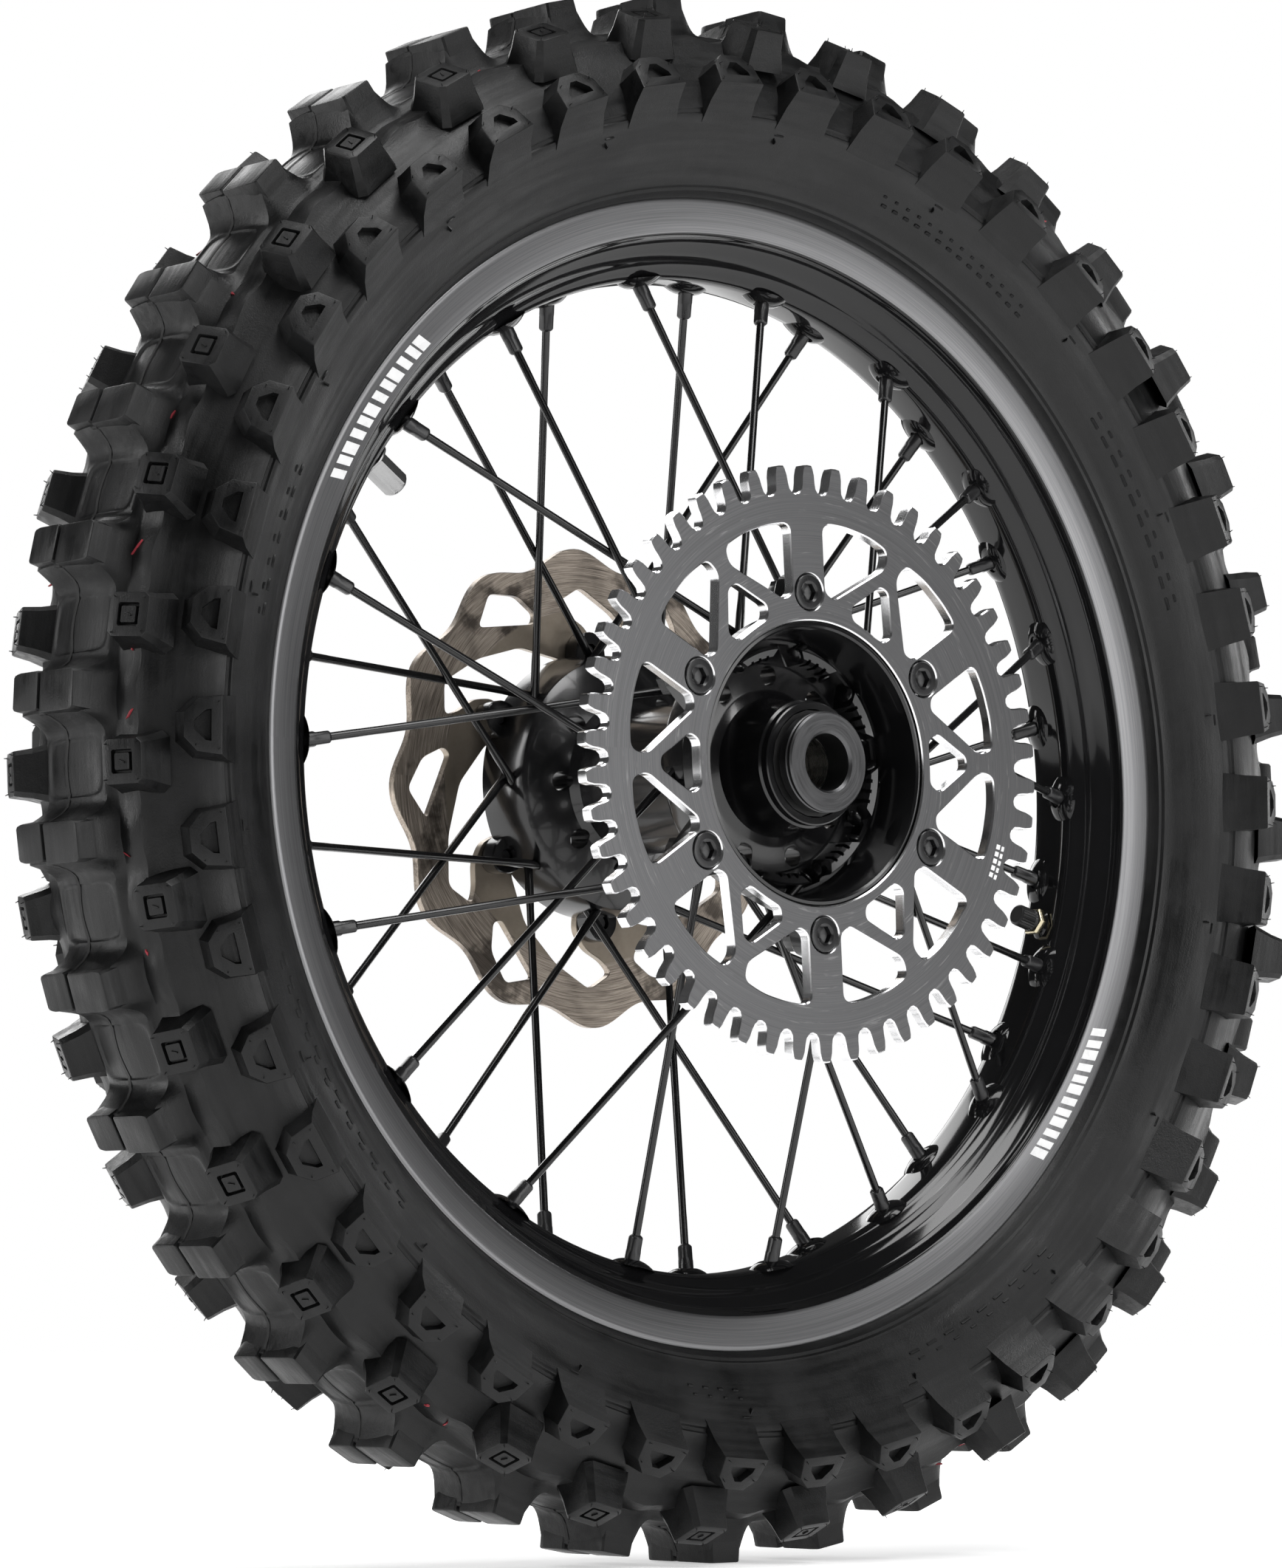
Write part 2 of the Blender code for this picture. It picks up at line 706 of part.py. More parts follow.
rim()
rim_band()
tyre()
inner_tube()
valve()
rim_lock()
hub()
axle_stack()
sprocket()
sprocket_fasteners()
brake_disc()
disc_bolts()
spokes()
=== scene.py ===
"""Looks of the spoked wheel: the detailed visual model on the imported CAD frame.

Frame: metres, the wheel turns about Y, the sprocket is on the -Y side and the brake disc on the +Y
side. Lengths in this file are in millimetres, and each mesh is scaled to metres when it is made.
"""

import math
import random

import bmesh
import bpy
from mathutils import Matrix, Vector, geometry


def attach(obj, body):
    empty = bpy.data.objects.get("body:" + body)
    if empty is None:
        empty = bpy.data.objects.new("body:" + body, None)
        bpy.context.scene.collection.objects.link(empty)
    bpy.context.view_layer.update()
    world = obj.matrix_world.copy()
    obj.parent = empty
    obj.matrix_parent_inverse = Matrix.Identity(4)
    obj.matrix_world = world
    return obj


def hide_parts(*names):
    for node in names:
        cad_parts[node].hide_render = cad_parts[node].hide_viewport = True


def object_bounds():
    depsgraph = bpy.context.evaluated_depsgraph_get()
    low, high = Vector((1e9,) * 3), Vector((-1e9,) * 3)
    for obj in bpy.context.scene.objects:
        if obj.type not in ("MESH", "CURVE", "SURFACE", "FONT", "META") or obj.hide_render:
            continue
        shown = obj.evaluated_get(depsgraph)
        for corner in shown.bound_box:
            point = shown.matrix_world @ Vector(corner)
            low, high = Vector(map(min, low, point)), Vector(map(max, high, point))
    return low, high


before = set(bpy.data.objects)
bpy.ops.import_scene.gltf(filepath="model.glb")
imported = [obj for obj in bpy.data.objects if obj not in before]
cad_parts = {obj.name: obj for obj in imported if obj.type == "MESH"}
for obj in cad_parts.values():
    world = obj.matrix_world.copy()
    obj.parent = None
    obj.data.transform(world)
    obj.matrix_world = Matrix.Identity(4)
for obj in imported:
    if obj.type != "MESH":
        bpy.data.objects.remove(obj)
cad_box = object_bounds()

MM = 0.001
CHANCE = random.Random(7)

# Tyre
TREAD_RADIUS = 348.9
FLOOR_RADIUS = 330.5
PITCHES = 35
PITCH = 360 / PITCHES
TREAD_PHASE = 193.0  # centre of a saddle between two crown blocks
SHOULDERS = 42
FLECKS = 70

# Rim and spokes
RIM_BED = 222.0
STAGGER = 6.5
PAIRS = 9
PAIR_STEP = 360 / PAIRS
HUB_SEAT = 51.0
CROSS_SPREAD = 2.4  # half the axial distance between crossing spokes at the hub
SWEEP = {-1: 41.5, 1: 38.0}  # degrees round the hub from rim hole to seat, by side
FLANGE_Y = {-1: -60.5, 1: 61.0}
VALVE_ANGLE = 345.0
LOCK_ANGLE = 145.0
STEM_RADIUS = 206  # where the valve's cap and the rim lock's nut begin

# Hub, sprocket and disc
SPROCKET_FACE = -85.3
SPROCKET_THICKNESS = 6.0
SPROCKET_BORE = 62.5
SPROCKET_BOLTS = 75.0
TEETH = 50
TOOTH_PHASE = 2.2
BOLT_PHASE = 33.3
LUG_THICKNESS = 8.0
GAP = 0.3  # clearance between pieces that touch
DISC_FACE = 75.6
DISC_THICKNESS = 4.0
DISC_BOLTS = 62.3
DISC_WAVES = 12
BORE_RADIUS = 12.6
SPACER_RADIUS = 22.1

TO_AXLE = Matrix.Rotation(math.radians(-90), 4, "X")  # local Z to +Y


# ---- places on the wheel


def polar(radius, degrees):
    angle = math.radians(degrees)
    return radius * math.cos(angle), radius * math.sin(angle)


def on_wheel(radius, degrees, y):
    x, z = polar(radius, degrees)
    return Vector((x, y, z))


def radial_frame(degrees, radius, y=0.0, lean=0.0):
    """A frame whose Y runs along the axle and whose Z leans from the radius to +Y by lean."""
    up = on_wheel(1, degrees, 0)
    side = Vector((0, 1, 0))
    basis = Matrix((side.cross(up), side, up)).transposed().to_4x4()
    turn = Matrix.Rotation(math.radians(-lean), 4, "X")
    return Matrix.Translation(on_wheel(radius, degrees, y)) @ basis @ turn


def axle_frame(radius, degrees, y=0.0, outward=1):
    """A frame whose Z runs along the axle, to +Y or to -Y, and whose X runs along the radius."""
    along = Vector((0, outward, 0))
    out = on_wheel(1, degrees, 0)
    basis = Matrix((out, along.cross(out), along)).transposed().to_4x4()
    return Matrix.Translation(on_wheel(radius, degrees, y)) @ basis


def line_frame(start, end):
    """A frame at start whose Z points at end."""
    along = (end - start).normalized()
    across = Vector((0, 1, 0)).cross(along).normalized()
    basis = Matrix((across, along.cross(across), along)).transposed().to_4x4()
    return Matrix.Translation(start) @ basis


# ---- mesh helpers


class Shape:
    """Vertices and faces in millimetres that become one mesh."""

    def __init__(self):
        self.verts = []
        self.faces = []

    def rings(self, rings, place=None, first=False, last=True):
        """Joins rings of equal length into a skin, and closes the first and last ring if asked."""
        place = place or Matrix.Identity(4)
        start = len(self.verts)
        size = len(rings[0])
        for ring in rings:
            self.verts += [place @ Vector(p) for p in ring]
        for i in range(len(rings) - 1):
            a, b = start + i * size, start + (i + 1) * size
            for j in range(size):
                k = (j + 1) % size
                self.faces.append((a + j, a + k, b + k, b + j))
        if first:
            self.faces.append(tuple(range(start + size - 1, start - 1, -1)))
        if last:
            end = start + (len(rings) - 1) * size
            self.faces.append(tuple(range(end, end + size)))

    def grid(self, rows, columns, point, around=False):
        """A skin of rows by columns points, closed along the columns if it goes around."""
        start = len(self.verts)
        for i in range(rows):
            self.verts += [point(i, j) for j in range(columns)]
        for i in range(rows - 1):
            for j in range(columns if around else columns - 1):
                k = (j + 1) % columns
                a, b = start + i * columns, start + (i + 1) * columns
                self.faces.append((a + j, b + j, b + k, a + k))

    def turned(self, outline, steps, place=None, closed=True):
        """Turns an outline of (radius, height) points about local Z."""
        points = outline + outline[:1] if closed else outline
        rings = [
            [(r * math.cos(a), r * math.sin(a), z) for a in turn_angles(steps)] for r, z in points
        ]
        self.rings(rings, place, last=False)

    def build(self, name, materials, body, slot, nodes=(), smooth=40.0):
        """Makes the piece, which rides on a body and stands for the CAD nodes."""
        obj = self.plain(name, 1e-7)
        for look in materials:
            obj.data.materials.append(look)
        finish_piece(obj, body, nodes, smooth)

    def plain(self, name, weld=None):
        """Makes the object alone, with its double points joined if weld gives a distance."""
        mesh = bpy.data.meshes.new(name)
        mesh.from_pydata([p * MM for p in self.verts], [], self.faces)
        bm = bmesh.new()
        bm.from_mesh(mesh)
        if weld:
            bmesh.ops.remove_doubles(bm, verts=bm.verts, dist=weld)
        bmesh.ops.recalc_face_normals(bm, faces=bm.faces)
        bm.to_mesh(mesh)
        bm.free()
        return linked(name, mesh)


def linked(name, data):
    obj = bpy.data.objects.new(name, data)
    bpy.context.scene.collection.objects.link(obj)
    return obj


def turn_angles(steps):
    return [2 * math.pi * i / steps for i in range(steps)]


def finish_piece(obj, body, nodes=(), smooth=40.0):
    mesh = obj.data
    mesh.shade_smooth()
    mesh.set_sharp_from_angle(angle=math.radians(smooth))
    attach(obj, body)
    if nodes:
        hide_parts(*nodes)


def soft(outline, radius=1.0, segments=3):
    """Rounds the corners of a closed outline of (u, v) points."""
    made = []
    count = len(outline)
    for i, corner in enumerate(outline):
        here = Vector(corner)
        before = Vector(outline[i - 1]) - here
        after = Vector(outline[(i + 1) % count]) - here
        reach = min(radius, before.length * 0.45, after.length * 0.45)
        start = here + before.normalized() * reach
        end = here + after.normalized() * reach
        for j in range(segments + 1):
            t = j / segments
            made.append(tuple(start * (1 - t) ** 2 + here * 2 * t * (1 - t) + end * t**2))
    return made


def level(outline, z, scale=1.0):
    return [(x * scale, y * scale, z) for x, y in outline]


def oblong(width, height):
    x, y = width / 2, height / 2
    return [(-x, -y), (x, -y), (x, y), (-x, y)]


def circle(radius, steps, centre=(0, 0)):
    return [
        (centre[0] + radius * math.cos(t), centre[1] + radius * math.sin(t))
        for t in turn_angles(steps)
    ]


def ramp(value, low, high):
    """Smooth step from 0 at low to 1 at high."""
    t = max(0.0, min(1.0, (value - low) / (high - low)))
    return t * t * (3 - 2 * t)


def area(outline):
    return sum(a[0] * b[1] - b[0] * a[1] for a, b in zip(outline, outline[1:] + outline[:1]))


def inset(outline, distance):
    """Moves an outline to its left by distance, with mitred corners."""
    made = []
    count = len(outline)
    for i, corner in enumerate(outline):
        here = Vector(corner)
        before = (here - Vector(outline[i - 1])).normalized()
        after = (Vector(outline[(i + 1) % count]) - here).normalized()
        left = Vector((-before.y - after.y, before.x + after.x)).normalized()
        reach = distance / max(0.5, left.dot(Vector((-after.y, after.x))))
        made.append(tuple(here + left * reach))
    return made


def inside(point, outline):
    """True if the point is inside the outline, by counting the edges to its right."""
    x, y = point
    odd = False
    for (ax, ay), (bx, by) in zip(outline, outline[1:] + outline[:1]):
        if (ay > y) != (by > y) and x < ax + (y - ay) / (by - ay) * (bx - ax):
            odd = not odd
    return odd


def filled(outlines):
    """Triangles between the first outline and the others, as indices of all their points."""
    points = [Vector(p) for outline in outlines for p in outline]
    edges = []
    for outline in outlines:
        start = len(edges)
        count = len(outline)
        edges += [(start + i, start + (i + 1) % count) for i in range(count)]
    result = geometry.delaunay_2d_cdt(points, edges, [], 0, 1e-6)
    back = [origin[0] for origin in result[3]]
    kept = []
    for triangle in result[2]:
        middle = sum((result[0][i] for i in triangle), Vector((0, 0))) / 3
        if sum(inside(middle, outline) for outline in outlines) == 1:
            kept.append(tuple(back[i] for i in triangle))
    return kept


def flat_plate(name, outlines, thickness, y, bevel, *finish):
    """A bevelled plate in the wheel's plane: the first outline is its edge, the others holes."""
    turned = [
        outline if (area(outline) > 0) == (i == 0) else outline[::-1]
        for i, outline in enumerate(outlines)
    ]
    narrow = [inset(outline, bevel) for outline in turned]
    face = filled(narrow)
    shape = Shape()
    half = thickness / 2
    for points, depth in ((narrow, -half), (turned, bevel - half), (turned, half - bevel),
                          (narrow, half)):
        shape.verts += [Vector((x, y + depth, z)) for outline in points for x, z in outline]
    size = len(shape.verts) // 4
    shape.faces += face + [tuple(i + 3 * size for i in t[::-1]) for t in face]
    for layer in range(3):
        start = layer * size
        for outline in turned:
            count = len(outline)
            for i in range(count):
                a, b = start + i, start + (i + 1) % count
                shape.faces.append((a, b, b + size, a + size))
            start += count
    shape.build(name, *finish)


# ---- materials


class Look:
    """A node material whose textures use the object's own coordinates."""

    def __init__(self, name, roughness, metallic=0.0, **sockets):
        self.material = bpy.data.materials.new(name)
        self.material.use_nodes = True
        self.nodes = self.material.node_tree.nodes
        self.links = self.material.node_tree.links
        self.shader = self.nodes["Principled BSDF"]
        self.shader.inputs["Roughness"].default_value = roughness
        self.shader.inputs["Metallic"].default_value = metallic
        for socket, value in sockets.items():
            self.shader.inputs[socket.replace("_", " ")].default_value = value
        self.place = self.nodes.new("ShaderNodeTexCoord").outputs["Object"]
        self._polar = None

    def node(self, kind, inputs=None, **settings):
        made = self.nodes.new("ShaderNode" + kind)
        for key, value in settings.items():
            setattr(made, key, value)
        for key, value in (inputs or {}).items():
            if isinstance(value, bpy.types.NodeSocket):
                self.links.new(value, made.inputs[key])
            else:
                made.inputs[key].default_value = value
        return made

    def math(self, operation, a, b=0.0):
        return self.node("Math", {0: a, 1: b}, operation=operation).outputs[0]

    def polar(self):
        """(radius, angle, y) about the axle, in metres and radians."""
        if self._polar is None:
            parts = self.node("SeparateXYZ", {0: self.place}).outputs
            square = self.math("ADD", self.math("MULTIPLY", parts[0], parts[0]),
                               self.math("MULTIPLY", parts[2], parts[2]))
            self._polar = (self.math("SQRT", square), self.math("ARCTAN2", parts[2], parts[0]),
                           parts[1])
        return self._polar

    def rings(self, fine=3000.0, along=1.5):
        """Coordinates that stretch a texture along circles about the axle."""
        radius, angle, y = self.polar()
        return self.node("CombineXYZ", {
            0: self.math("MULTIPLY", radius, fine),
            1: self.math("MULTIPLY", angle, along),
            2: self.math("MULTIPLY", y, fine),
        }).outputs[0]

    def noise(self, scale, detail=4.0, place=None, roughness=0.6):
        return self.node("TexNoise", {"Vector": place or self.place, "Scale": scale,
                                      "Detail": detail, "Roughness": roughness}).outputs[0]

    def range(self, value, low, high, to_low, to_high):
        return self.node("MapRange", {0: value, 1: low, 2: high, 3: to_low, 4: to_high},
                         interpolation_type="SMOOTHSTEP").outputs[0]

    def mix(self, factor, a, b):
        made = self.nodes.new("ShaderNodeMix")
        made.data_type = "RGBA"
        for index, value in ((0, factor), (6, a), (7, b)):
            if isinstance(value, bpy.types.NodeSocket):
                self.links.new(value, made.inputs[index])
            elif index:
                made.inputs[index].default_value = (*value, 1)
            else:
                made.inputs[index].default_value = value
        return made.outputs[2]

    def colour(self, value):
        self.links.new(value, self.shader.inputs["Base Color"])
        return self

    def feed(self, socket, value):
        self.links.new(value, self.shader.inputs[socket])
        return self

    def bump(self, height, strength=0.2, distance=0.0002):
        made = self.node("Bump", {"Height": height, "Strength": strength, "Distance": distance})
        self.links.new(made.outputs[0], self.shader.inputs["Normal"])
        return self


def rubber_look(name, dark, dusty, roughness):
    look = Look(name, roughness, Specular_IOR_Level=0.3)
    cloud = look.noise(22.0, 6.0)
    grain = look.noise(1400.0, 3.0)
    stain = look.noise(90.0, 5.0)
    base = look.mix(look.range(cloud, 0.35, 0.7, 0.0, 1.0), dark, dusty)
    look.colour(look.mix(look.range(stain, 0.45, 0.8, 0.0, 0.5), base,
                         tuple(c * 1.5 for c in dusty)))
    streak = look.noise(1.0, 5.0, look.rings(260.0, 5.0))
    worn = look.math("ADD", look.math("MULTIPLY", cloud, 0.6), look.math("MULTIPLY", streak, 0.4))
    look.feed("Roughness", look.range(worn, 0.36, 0.64, roughness - 0.12, roughness + 0.16))
    height = look.math("ADD", grain, look.math("MULTIPLY", stain, 2.0))
    return look.bump(look.math("ADD", height, look.math("MULTIPLY", streak, 1.5)), 0.3, 0.0003)


def painted_look(name, base, roughness, coat=0.0, grain=500.0):
    look = Look(name, roughness, Coat_Weight=coat, Coat_Roughness=0.04)
    cloud = look.noise(30.0, 5.0)
    look.colour(look.mix(cloud, base, tuple(c * 1.9 for c in base)))
    look.feed("Roughness", look.range(cloud, 0.3, 0.7, roughness * 0.8, roughness * 1.25))
    return look.bump(look.noise(grain, 2.0), 0.06, 0.0001)


def turned_metal_look(name, base, light, roughness, fine=2600.0, strength=0.12):
    """Metal with the fine circular marks of a lathe or a grinding wheel."""
    look = Look(name, roughness, 1.0)
    marks = look.noise(1.0, 5.0, look.rings(fine))
    cloud = look.noise(18.0, 5.0)
    look.colour(look.mix(look.math("MULTIPLY", marks, look.range(cloud, 0.2, 0.8, 0.6, 1.3)),
                         base, light))
    look.feed("Roughness", look.range(marks, 0.3, 0.7, roughness - 0.06, roughness + 0.09))
    return look.bump(marks, strength, 0.0001)


def rim_look():
    """Gloss black, with a brushed bare band round the outer flange of both sides."""
    look = Look("rim_black_paint", 0.1, Specular_IOR_Level=0.35, Coat_Weight=0.1,
                Coat_Roughness=0.03)
    radius, _, y = look.polar()
    cloud = look.noise(25.0, 4.0)
    marks = look.noise(1.0, 6.0, look.rings(2200.0, 2.5))
    band = look.math("MULTIPLY", look.range(radius, 0.2405, 0.2410, 0.0, 1.0),
                     look.range(look.math("ABSOLUTE", y), 0.0285, 0.0289, 0.0, 1.0))
    paint = look.mix(cloud, (0.0035, 0.0035, 0.0038), (0.008, 0.008, 0.0085))
    metal = look.mix(marks, (0.07, 0.07, 0.072), (0.27, 0.27, 0.275))
    look.colour(look.mix(band, paint, metal))
    look.feed("Metallic", band)
    look.feed("Roughness", look.math("ADD", look.math("MULTIPLY", band, 0.26), 0.09))
    return look.bump(look.math("MULTIPLY", marks, band), 0.2, 0.0001)


def disc_look():
    """Ground steel: brown marks with dark smudges on the track, plain tan near the hub."""
    look = Look("brake_disc_steel", 0.34, 1.0)
    radius, _, _ = look.polar()
    marks = look.noise(1.0, 5.0, look.rings(4200.0, 6.0))
    streak = look.noise(1.0, 4.0, look.rings(1500.0, 5.0))
    smudge = look.noise(30.0, 5.0)
    track = look.range(radius, 0.0805, 0.0815, 0.0, 1.0)
    worn = look.mix(look.range(marks, 0.3, 0.7, 0.0, 1.0), (0.22, 0.185, 0.155),
                    (0.62, 0.54, 0.46))
    worn = look.mix(look.range(streak, 0.5, 0.72, 0.0, 0.7), worn, (0.12, 0.10, 0.085))
    worn = look.mix(look.range(smudge, 0.52, 0.64, 0.0, 0.82), worn, (0.045, 0.038, 0.033))
    plain = look.mix(look.noise(300.0, 3.0), (0.30, 0.255, 0.205), (0.38, 0.33, 0.27))
    look.colour(look.mix(track, plain, worn))
    look.feed("Roughness", look.range(marks, 0.3, 0.7, 0.3, 0.46))
    return look.bump(marks, 0.15, 0.0001)


def sprocket_look():
    look = Look("sprocket_aluminium", 0.34, 1.0)
    marks = look.noise(1.0, 6.0, look.rings(1900.0, 1.2))
    scratch = look.noise(1.0, 3.0, look.rings(700.0, 5.0))
    _, _, y = look.polar()
    middle = (SPROCKET_FACE + SPROCKET_THICKNESS / 2) * MM
    depth = look.math("ABSOLUTE", look.math("SUBTRACT", y, middle))
    face = look.range(depth, 0.0027, 0.00295, 0.0, 1.0)
    plate = look.mix(marks, (0.09, 0.09, 0.092), (0.24, 0.24, 0.245))
    plate = look.mix(look.range(scratch, 0.62, 0.7, 0.0, 0.5), plate, (0.36, 0.36, 0.36))
    look.colour(look.mix(face, (0.86, 0.86, 0.87), plate))
    look.feed("Roughness", look.math("ADD", look.math("MULTIPLY", face, 0.2), 0.16))
    return look.bump(marks, 0.14, 0.0001)


def decal_look():
    look = Look("white_vinyl", 0.3)
    cloud = look.noise(160.0, 4.0)
    look.colour(look.mix(cloud, (0.72, 0.72, 0.72), (0.9, 0.9, 0.9)))
    look.feed("Roughness", look.range(cloud, 0.3, 0.7, 0.24, 0.4))
    return look.bump(look.noise(900.0, 2.0), 0.05, 0.0001)


def fleck_look():
    look = Look("red_paint_fleck", 0.55)
    cloud = look.noise(700.0, 4.0)
    look.colour(look.mix(cloud, (0.16, 0.02, 0.025), (0.5, 0.05, 0.07)))
    return look.bump(cloud, 0.2, 0.0001)


TYRE = rubber_look(
    "tyre_rubber", (0.0032, 0.0033, 0.0034), (0.0078, 0.0079, 0.0082), 0.41
).material
SOFT = rubber_look("soft_rubber", (0.010, 0.010, 0.010), (0.02, 0.02, 0.02), 0.6).material
RIM = rim_look().material
HUB = painted_look("hub_black_anodised", (0.0035, 0.0035, 0.0038), 0.2, 0.2).material
SPOKE = painted_look("spoke_black_paint", (0.0025, 0.0025, 0.0027), 0.22).material
SPROCKET = sprocket_look().material
DISC = disc_look().material
BOLT = painted_look("black_oxide", (0.006, 0.006, 0.0065), 0.3).material
SPACER = turned_metal_look("spacer_dark", (0.07, 0.07, 0.072), (0.13, 0.13, 0.133), 0.36).material
BEARING = turned_metal_look("bearing_steel", (0.4, 0.39, 0.38), (0.66, 0.65, 0.63), 0.25).material
BRIGHT = turned_metal_look("zinc_plate", (0.26, 0.26, 0.26), (0.46, 0.46, 0.46), 0.34).material
BRASS = turned_metal_look("valve_brass", (0.5, 0.44, 0.3), (0.78, 0.7, 0.5), 0.26).material
PLASTIC = painted_look("black_plastic", (0.006, 0.006, 0.006), 0.42, 0.0, 900.0).material
WHITE = decal_look().material
RED = fleck_look().material


# ---- tyre


def crown_floor(u, y):
    """Height of the groove floor over FLOOR_RADIUS at u millimetres from a saddle's centre."""
    half = math.radians(PITCH) * TREAD_RADIUS / 2
    reach = abs(y)
    base = -0.006 * reach * reach * (1 - 0.35 * ramp(reach, 30, 50))
    dune = 5.0 * math.exp(-((u / 13) ** 2 + ((reach - 35) / 11) ** 2))
    ridge = 4.6 * math.exp(-(((abs(u) - half) / 12) ** 2 + ((reach - 32) / 8) ** 2))
    saddle = ramp(24.5 - reach, 0, 3.5)
    wall = max(0.0, min(1.0, 1 - (half - 8.6 - abs(u)) / 10))
    bowl = 3.5 + 12.5 * wall**2.4
    panel = 0.9 * ramp(1.12 - (u / 12.8) ** 6 - (y / 19.2) ** 6, 0.0, 0.5)
    return base + (dune + ridge) * (1 - saddle) + (bowl - panel) * saddle


SIDE = [
    (321.0, 37.6), (314.0, 43.6), (308.0, 47.4), (302.0, 49.8), (297.0, 50.8), (293.4, 51.2),
    (292.6, 50.4), (291.2, 50.3), (290.4, 51.0), (289.0, 51.0), (287.6, 50.2), (284.0, 49.1),
    (278.0, 46.6), (272.0, 43.4), (266.0, 39.6), (262.0, 36.6), (261.0, 36.5), (260.2, 35.2),
    (258.8, 34.9), (258.0, 33.4), (256.8, 31.6), (255.0, 29.9), (252.0, 29.0), (246.0, 27.0),
]


def carcass(shape):
    near = [0, 4, 8, 12, 15, 16.6, 17.6, 18.4, 19.2, 20, 21.2, 22.4, 23.6, 25, 28, 32, 36]
    rows_y = [-y for y in near[:0:-1]] + near
    steps = [0, 4, 8, 10.5, 11.5, 12.2, 12.9, 13.8, 15, 16.5, 18, 19.5, 21, 23, 26]
    width = math.radians(PITCH) * TREAD_RADIUS
    across = [-width / 2] + [-u for u in steps[:0:-1]] + steps
    columns = PITCHES * len(across)

    def point(i, j):
        u = across[j % len(across)]
        turn = (j // len(across)) * PITCH + u / width * PITCH
        if i < len(SIDE):
            radius, y = SIDE[len(SIDE) - 1 - i]
            y = -y
        elif i < len(SIDE) + len(rows_y):
            y = rows_y[i - len(SIDE)]
            radius = FLOOR_RADIUS + crown_floor(u, y)
        else:
            radius, y = SIDE[i - len(SIDE) - len(rows_y)]
        return on_wheel(radius, TREAD_PHASE + turn, y)

    shape.grid(2 * len(SIDE) + len(rows_y), columns, point, around=True)


def knob(shape, place, foot, top, height, depth, recess=None, dip=1.2, island=None):
    """A tapered block with bevelled edges, and a recess with a raised island if given."""
    bevel = 0.7
    rings = [
        level(foot, -depth),
        [(a[0] * 0.3 + b[0] * 0.7, a[1] * 0.3 + b[1] * 0.7, height * 0.55 - depth * 0.45)
         for a, b in zip(foot, top)],
        level(top, height - bevel),
        level(top, height - bevel * 0.25, 0.975),
        level(top, height, 0.93),
    ]
    if recess:
        rings += [level(recess, height), level(recess, height - dip, 0.93)]
    if island:
        rings += [level(island, height - dip), level(island, height - 0.1, 0.9)]
    shape.rings(rings, place)


def pin(shape, place, x, y, z, length=3.2):
    """A thin moulding hair left by a vent hole."""
    lean = CHANCE.uniform(-0.9, 0.9), CHANCE.uniform(-0.9, 0.9)
    spots = [(x, y, z - 0.5, 0.34), (x + lean[0], y + lean[1], z + length, 0.16)]
    rings = [
        [(a + r * math.cos(t), b + r * math.sin(t), c) for t in turn_angles(4)]
        for a, b, c, r in spots
    ]
    shape.rings(rings, place)


def crown_blocks(shape):
    """Each block has two halves with a step between them, which a sipe divides."""
    near = [(-8.0, -22), (8.0, -22), (8.6, -18), (8.6, 2.2), (-8.6, 2.2), (-8.6, -18)]
    far = [(-7.2, 3.8), (9.2, 3.8), (9.2, 18), (8.2, 21.6), (-6.2, 21.6), (-7.2, 18)]
    halves = [soft(outline, 0.8, 1) for outline in (near, far)]
    low = soft(oblong(18, 4.8), 0.4, 1)
    for k in range(PITCHES):
        angle = TREAD_PHASE + (k + 0.5) * PITCH
        for outline in halves:
            middle = sum(y for _, y in outline) / len(outline)
            local = [(x, y - middle) for x, y in outline]
            wide = [(x * 1.16, y * 1.03) for x, y in local]
            place = radial_frame(angle, TREAD_RADIUS - 0.2, middle)
            knob(shape, place, wide, local, -0.01 * abs(middle), 15)
        knob(shape, radial_frame(angle, TREAD_RADIUS - 2.6, 3.0), low, low, 0, 12)
        place = radial_frame(angle, TREAD_RADIUS, 0)
        pin(shape, place, -6, -20, -1.2, 1.0)


def side_knobs(shape):
    """The square knobs between the crown and the shoulders, on both sides."""
    top = [(-9.4, -7), (-7.4, -9.3), (7.4, -9.3), (9.4, -7), (9.4, 7), (7.4, 9.3), (-7.4, 9.3),
           (-9.4, 7)]
    foot = [(x * 1.36, y * 1.36) for x, y in top]
    hole = [(-4.9, -4.3), (-4.3, -4.9), (4.3, -4.9), (4.9, -4.3), (4.9, 4.3), (4.3, 4.9),
            (-4.3, 4.9), (-4.9, 4.3)]
    island = [(x * 0.77, y * 0.77) for x, y in hole]
    nib = soft([(-0.9, -1.3), (-0.3, -1.6), (0.9, 1.3), (0.3, 1.6)], 0.2, 1)
    for k in range(PITCHES):
        for side in (-1, 1):
            radius, y = (331.6, 31.6) if k % 5 else (327.6, 38.6)
            place = radial_frame(TREAD_PHASE + k * PITCH, radius, side * y, side * 25)
            place = place @ Matrix.Translation((0, side * 6.0, 0))
            knob(shape, place, foot, top, 8.6, 9, hole, 2.4, island)
            knob(shape, place, nib, nib, 9.1, 0)
            for x in (-7.4, 7.4):
                for y in (-7.2, 7.2):
                    pin(shape, place, x, y, 8.4, 1.6)


